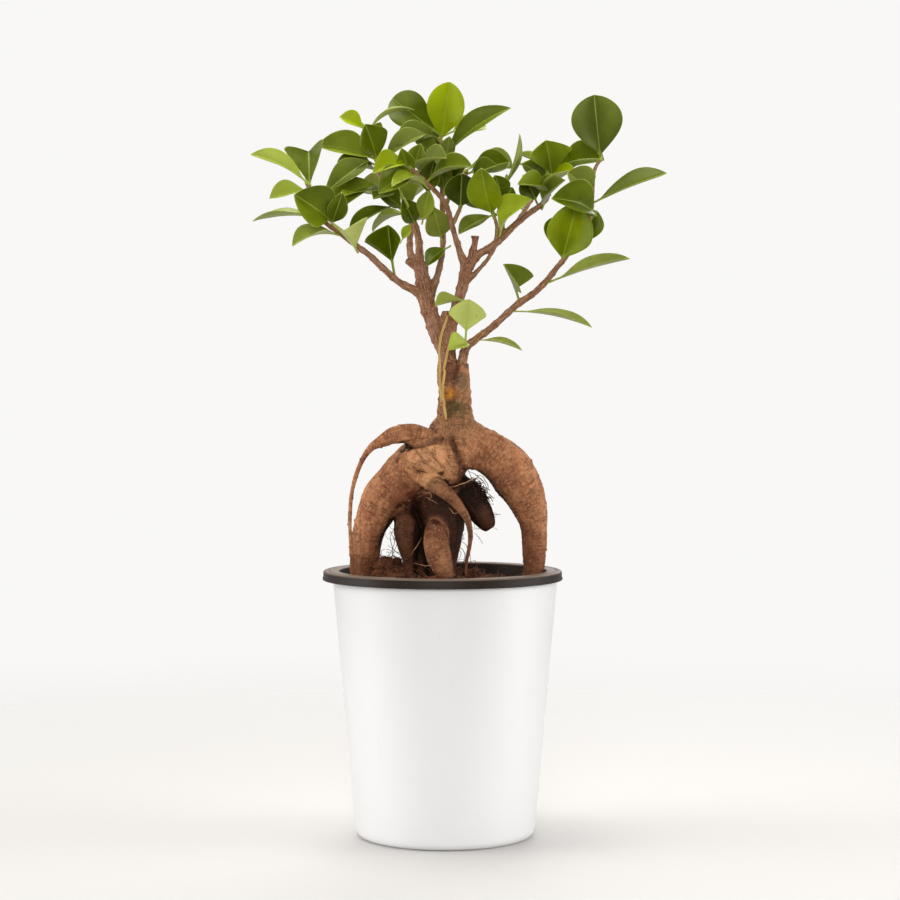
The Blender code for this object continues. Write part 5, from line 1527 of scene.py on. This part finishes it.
grains, fibres = grainTree(), fibreTree()
crumbFinish = soilFinish("soil_crumb", (0.018, 0.007, 0.004), (0.075, 0.029, 0.014), (0.19, 0.083, 0.040))
clodFinish = soilFinish("clod_crumb", (0.034, 0.011, 0.006), (0.135, 0.045, 0.020), (0.290, 0.115, 0.050))
coirFinish = soilFinish("coir_fibre", (0.060, 0.022, 0.010), (0.165, 0.066, 0.028), (0.34, 0.155, 0.072))
hairFinish = soilFinish("root_hair", (0.014, 0.006, 0.004), (0.045, 0.018, 0.010), (0.11, 0.045, 0.022))
corkFinish = soilFinish("cork_pore", (0.17, 0.075, 0.035), (0.33, 0.17, 0.085), (0.52, 0.31, 0.17))
soilScatter = {
    "soilCrumbs": (grains, soilBed, {"Mask": "spread", "Density": 260000.0, "Smallest": 0.00022,
                                     "Largest": 0.00150, "Flatness": 0.8, "Seed": 3}, crumbFinish),
    "clodCrumbs": (grains, peatClods, {"Mask": "spread", "Density": 420000.0, "Smallest": 0.00018,
                                       "Largest": 0.00085, "Flatness": 0.8, "Seed": 5}, clodFinish),
    "coirFibres": (fibres, soilBed, {"Mask": "spread", "Density": 26000.0, "Shortest": 0.003,
                                     "Longest": 0.011, "Thickness": 0.00016, "Rise": 0.32, "Curl": 0.0030,
                                     "Seed": 11}, coirFinish),
    "clodFibres": (fibres, peatClods, {"Mask": "spread", "Density": 60000.0, "Shortest": 0.002,
                                       "Longest": 0.008, "Thickness": 0.00013, "Rise": 0.35, "Curl": 0.0028,
                                       "Seed": 13}, coirFinish),
}
for name, (tree, surface, values, material) in soilScatter.items():
    scatter(name, tree, surface, values, material)


# Raffia: two flat strands tied round the trunk
raffiaSettings = {"rows": 60, "columns": 7, "thickness": 0.2, "halfWidth": 0.74, "curl": 0.28, "stations": 14,
                  "nearest": 12, "smoothing": 4, "wobbleSize": 7.0, "firstSeed": 31}


def raffiaFinish():
    material, tree, shader = newFinish("raffia_straw")
    grain = attributeValue(tree, "grain", "Vector")
    lines = noiseOf(tree, stretched(tree, grain, (0.06, 5.0, 5.0)), 1.0, 3.0, 0.6)
    spots = noiseOf(tree, objectPlace(tree), 420.0, 3.0, 0.6)
    colour = rampColour(tree, lines, ((0.3, (0.36, 0.20, 0.055)), (0.5, (0.60, 0.39, 0.115)),
                                      (0.7, (0.76, 0.55, 0.22))))
    colour = mixColour(tree, span(tree, spots, 0.58, 0.74, 0.0, 0.5), colour, (0.27, 0.13, 0.035))
    setSurface(tree, shader, colour, span(tree, spots, 0.3, 0.7, 0.45, 0.62), 0.3)
    bumpOf(tree, shader, lines, 0.6, 0.00015)
    return material


def makeRaffia(node, settings, material, seed):
    # follows the middle of the CAD strand, with its edges a little curled
    cad = readVectors(frame["nodes"][node].data, "co") / mm
    low, high = cad[:, 2].min(), cad[:, 2].max()
    levels = np.linspace(low, high, settings["stations"])
    nearest = settings["nearest"]
    middle = np.array([cad[np.argsort(np.abs(cad[:, 2] - level))[:nearest]].mean(0) for level in levels])
    middle[:, 2] = np.clip(middle[:, 2], low, high)
    middle[0, 2], middle[-1, 2] = low, high
    rows, columns = settings["rows"], settings["columns"]
    t, u = np.linspace(0, 1, rows), np.linspace(-1, 1, columns)
    line = np.stack([np.interp(t, np.linspace(0, 1, len(levels)), middle[:, k]) for k in range(3)], axis=1)
    for _ in range(settings["smoothing"]):
        line[1:-1] = (line[:-2] + line[1:-1] * 2 + line[2:]) / 4
    tangent = np.gradient(line, axis=0)
    tangent /= np.linalg.norm(tangent, axis=1)[:, None]
    outward = np.tile((0.0, -1.0, 0.0), (rows, 1))
    across = np.cross(tangent, outward)
    across /= np.linalg.norm(across, axis=1)[:, None]
    wobble = noiseField(line, settings["wobbleSize"], seed)
    half = settings["halfWidth"] * (0.86 + 0.14 * wobble) * np.minimum(1.0, 0.35 + np.minimum(t, 1 - t) * 12)
    curl = settings["curl"] * (0.6 + wobble)
    sheet = line[:, None] + across[:, None] * (half[:, None] * u[None])[:, :, None]
    sheet = sheet + outward[:, None] * (curl[:, None] * u[None] ** 2)[:, :, None]
    thick = outward[:, None] * settings["thickness"] / 2
    points = np.vstack([(sheet + thick).reshape(-1, 3), (sheet - thick).reshape(-1, 3)])
    mesh = turnOutwards(meshOf(node, points, sheetFaces(rows, columns)))
    grain = np.stack([np.repeat(t * (high - low), columns), np.tile(u, rows), np.zeros(rows * columns)],
                     axis=1)
    writeAttribute(mesh, "grain", np.vstack([grain, grain]))
    return newPiece("raffiaStrand_" + node[-1], mesh, material, (node,))


raffiaStraw = raffiaFinish()
for seed, node in enumerate(("raffia_tie_1", "raffia_tie_2"), raffiaSettings["firstSeed"]):
    makeRaffia(node, raffiaSettings, raffiaStraw, seed)


# Hair roots: strands laid one by one, and a tangle grown on the skin
hairSettings = {
    "radius": 0.16, "paleRadius": 0.26, "step": 0.6, "sides": 6,
    "wobble": 0.35, "wobbleSize": 2.6, "firstSeed": 50,
    "paleStrands": (
        ((0.5, -19.6, 175.2), (6, -21.8, 176.0), (12.5, -17, 178.2), (18, -11, 180.4)),
        ((-9.4, -16.5, 172.6), (-6.8, -18.6, 173.0), (-5.2, -18.8, 171.2), (-6.6, -18, 169.8),
         (-8.2, -17, 170.6)),
        ((-7.2, -17, 169.4), (-4.4, -18.4, 168.8), (-2.2, -18.4, 167.2)),
        ((3, -13, 165), (5.5, -14, 162.5), (8, -13, 162.2)),
        ((-10.4, -8.5, 150), (-13, -10.6, 145.5), (-15.5, -10.4, 141.5)),
        ((-14, -12, 137.4), (-9, -15, 136.6), (-5, -19, 137)),
    ),
    "strands": (
        ((22, -3, 162), (25.75, -4, 161.5), (29, -4, 161)),
        ((10, -6, 186), (13, -7, 183), (15, -6, 178), (18, -5, 176)),
        ((12, -5, 183), (16, -6, 181.5), (20, -5, 178)),
        ((14, -8, 178), (18, -8, 179.5), (21, -7, 177), (22.5, -6, 172)),
        ((13, -7, 175), (17, -9, 177), (21.5, -8, 172)),
        ((16, -7, 181), (20, -6, 180), (22.5, -5, 175), (21, -5, 170)),
        ((13, -9, 172), (16, -9, 168), (20, -8, 166)),
        ((15, -8, 180), (19, -8, 177), (18, -8, 171), (21, -7, 169)),
        ((11, -8, 180), (15, -9, 176), (17, -8, 170)),
        ((-26, -4, 153), (-24, -7, 148), (-25, -8, 142), (-22, -7, 136)),
        ((-25, -4, 150), (-22, -8, 146), (-20, -9, 139)),
        ((-24, -4, 155), (-26, -7, 149), (-23.5, -8, 143), (-19, -8, 140)),
        ((-27, -5, 146), (-23, -8, 143), (-17, -10, 141)),
        ((-28, -6, 141), (-22, -9, 140), (-15, -11, 137), (-11, -12, 136)),
        ((-21, -6, 152), (-23, -8, 146), (-26, -8, 139)),
        ((-20, -9, 141), (-12, -13, 138), (-6, -16, 134), (-2, -20, 131)),
        ((-14, -12, 139), (-9, -14, 136), (-9, -14, 130)),
        ((4, -21, 142), (8, -20, 146), (11, -18, 142), (9, -18, 134)),
        ((5, -20, 147), (9, -20, 143), (6, -21, 136)),
        ((11, -17, 150), (7, -19, 147), (5, -20, 140), (8, -19, 133)),
        ((12, -16, 140), (9, -19, 137), (12, -18, 131)),
        ((8, -20, 150), (12, -17, 146), (14, -16, 138), (13, -17, 130)),
        ((16, -6, 152), (18, -8, 150), (20, -8, 147)),
        ((-6, -17, 172), (-4, -19, 169), (0, -19, 167.5), (2, -20, 170)),
        ((-9, -15, 168), (-5, -17, 165.5), (0, -18, 166)),
    ),
    "tuftPlaces": (((13.6, -2.0, 177.5), 5.4), ((17.5, -2.0, 171.5), 5.0)),
}


def makeStrands(name, ways, radius, material, settings):
    allRings = []
    for seed, way in enumerate(ways):
        rows = [(*point, radius * (1.0 if 0 < k < len(way) - 1 else 0.6)) for k, point in enumerate(way)]
        samples = runSamples(placed(rows), settings["step"])
        line, firstSeed = samples[:, :3].copy(), settings["firstSeed"] + seed * 3
        wobble = [noiseField(line, settings["wobbleSize"], firstSeed + k) for k in range(3)]
        samples[:, :3] += settings["wobble"] * np.stack(wobble, axis=1)
        allRings.append(runRings(samples, settings["sides"]))
    return newPiece(name, turnOutwards(meshOfRings(name, allRings)), material)


def writeHairMasks(settings):
    # where tufts, fine hairs and warts grow on the rootstock
    mesh = rootstock.data
    points = readVectors(mesh, "co") / mm - (plantShift, 0, 0)
    height, shadeAndYouth = points[:, 2], readAttribute(mesh, "shadeAndYouth")
    near = [np.linalg.norm(points - place, axis=1) < reach for place, reach in settings["tuftPlaces"]]
    inner = (shadeAndYouth > 0.4) & (height > 130)
    low = (height > 128) & (height < 142) & (np.abs(points[:, 0]) < 34)
    lit = (shadeAndYouth < 0.3) & (height > 128) & (height < 224)
    writeAttribute(mesh, "tuft", (np.any(near, axis=0) & (shadeAndYouth > 0.5)).astype(float))
    writeAttribute(mesh, "hairs", inner * 0.5 + low * 0.5)
    writeAttribute(mesh, "warts", lit.astype(float))


writeHairMasks(hairSettings)
makeStrands("hairRoots", hairSettings["strands"], hairSettings["radius"], hairFinish, hairSettings)
makeStrands("paleHairRoots", hairSettings["paleStrands"], hairSettings["paleRadius"], corkFinish,
            hairSettings)
for graft in (mainGraft, rightGraft):
    writeAttribute(graft.data, "pores", np.ones(len(graft.data.vertices)))
skinScatter = {
    "rootTuft": (fibres, rootstock, {"Mask": "tuft", "Density": 1100000.0, "Shortest": 0.0016,
                                     "Longest": 0.0050, "Thickness": 0.00019, "Rise": 0.4, "Curl": 0.0034,
                                     "Seed": 21}, hairFinish, "root_bark"),
    "fineHairs": (fibres, rootstock, {"Mask": "hairs", "Density": 50000.0, "Shortest": 0.002,
                                      "Longest": 0.006, "Thickness": 0.00008, "Rise": 0.5, "Curl": 0.0026,
                                      "Seed": 23}, hairFinish, "root_bark"),
    "rootWarts": (grains, rootstock, {"Mask": "warts", "Density": 90000.0, "Smallest": 0.00016,
                                      "Largest": 0.00085, "Flatness": 0.55, "Seed": 25}, corkFinish,
                  "root_bark"),
    "twigPores": (grains, mainGraft, {"Mask": "pores", "Density": 160000.0, "Smallest": 0.00014,
                                      "Largest": 0.00042, "Flatness": 0.5, "Seed": 27}, corkFinish,
                  "twig_bark"),
    "rightTwigPores": (grains, rightGraft, {"Mask": "pores", "Density": 160000.0, "Smallest": 0.00014,
                                            "Largest": 0.00038, "Flatness": 0.5, "Seed": 29}, corkFinish,
                       "twig_bark"),
}
for name, (tree, surface, values, material, slotName) in skinScatter.items():
    scatter(name, tree, surface, values, material)
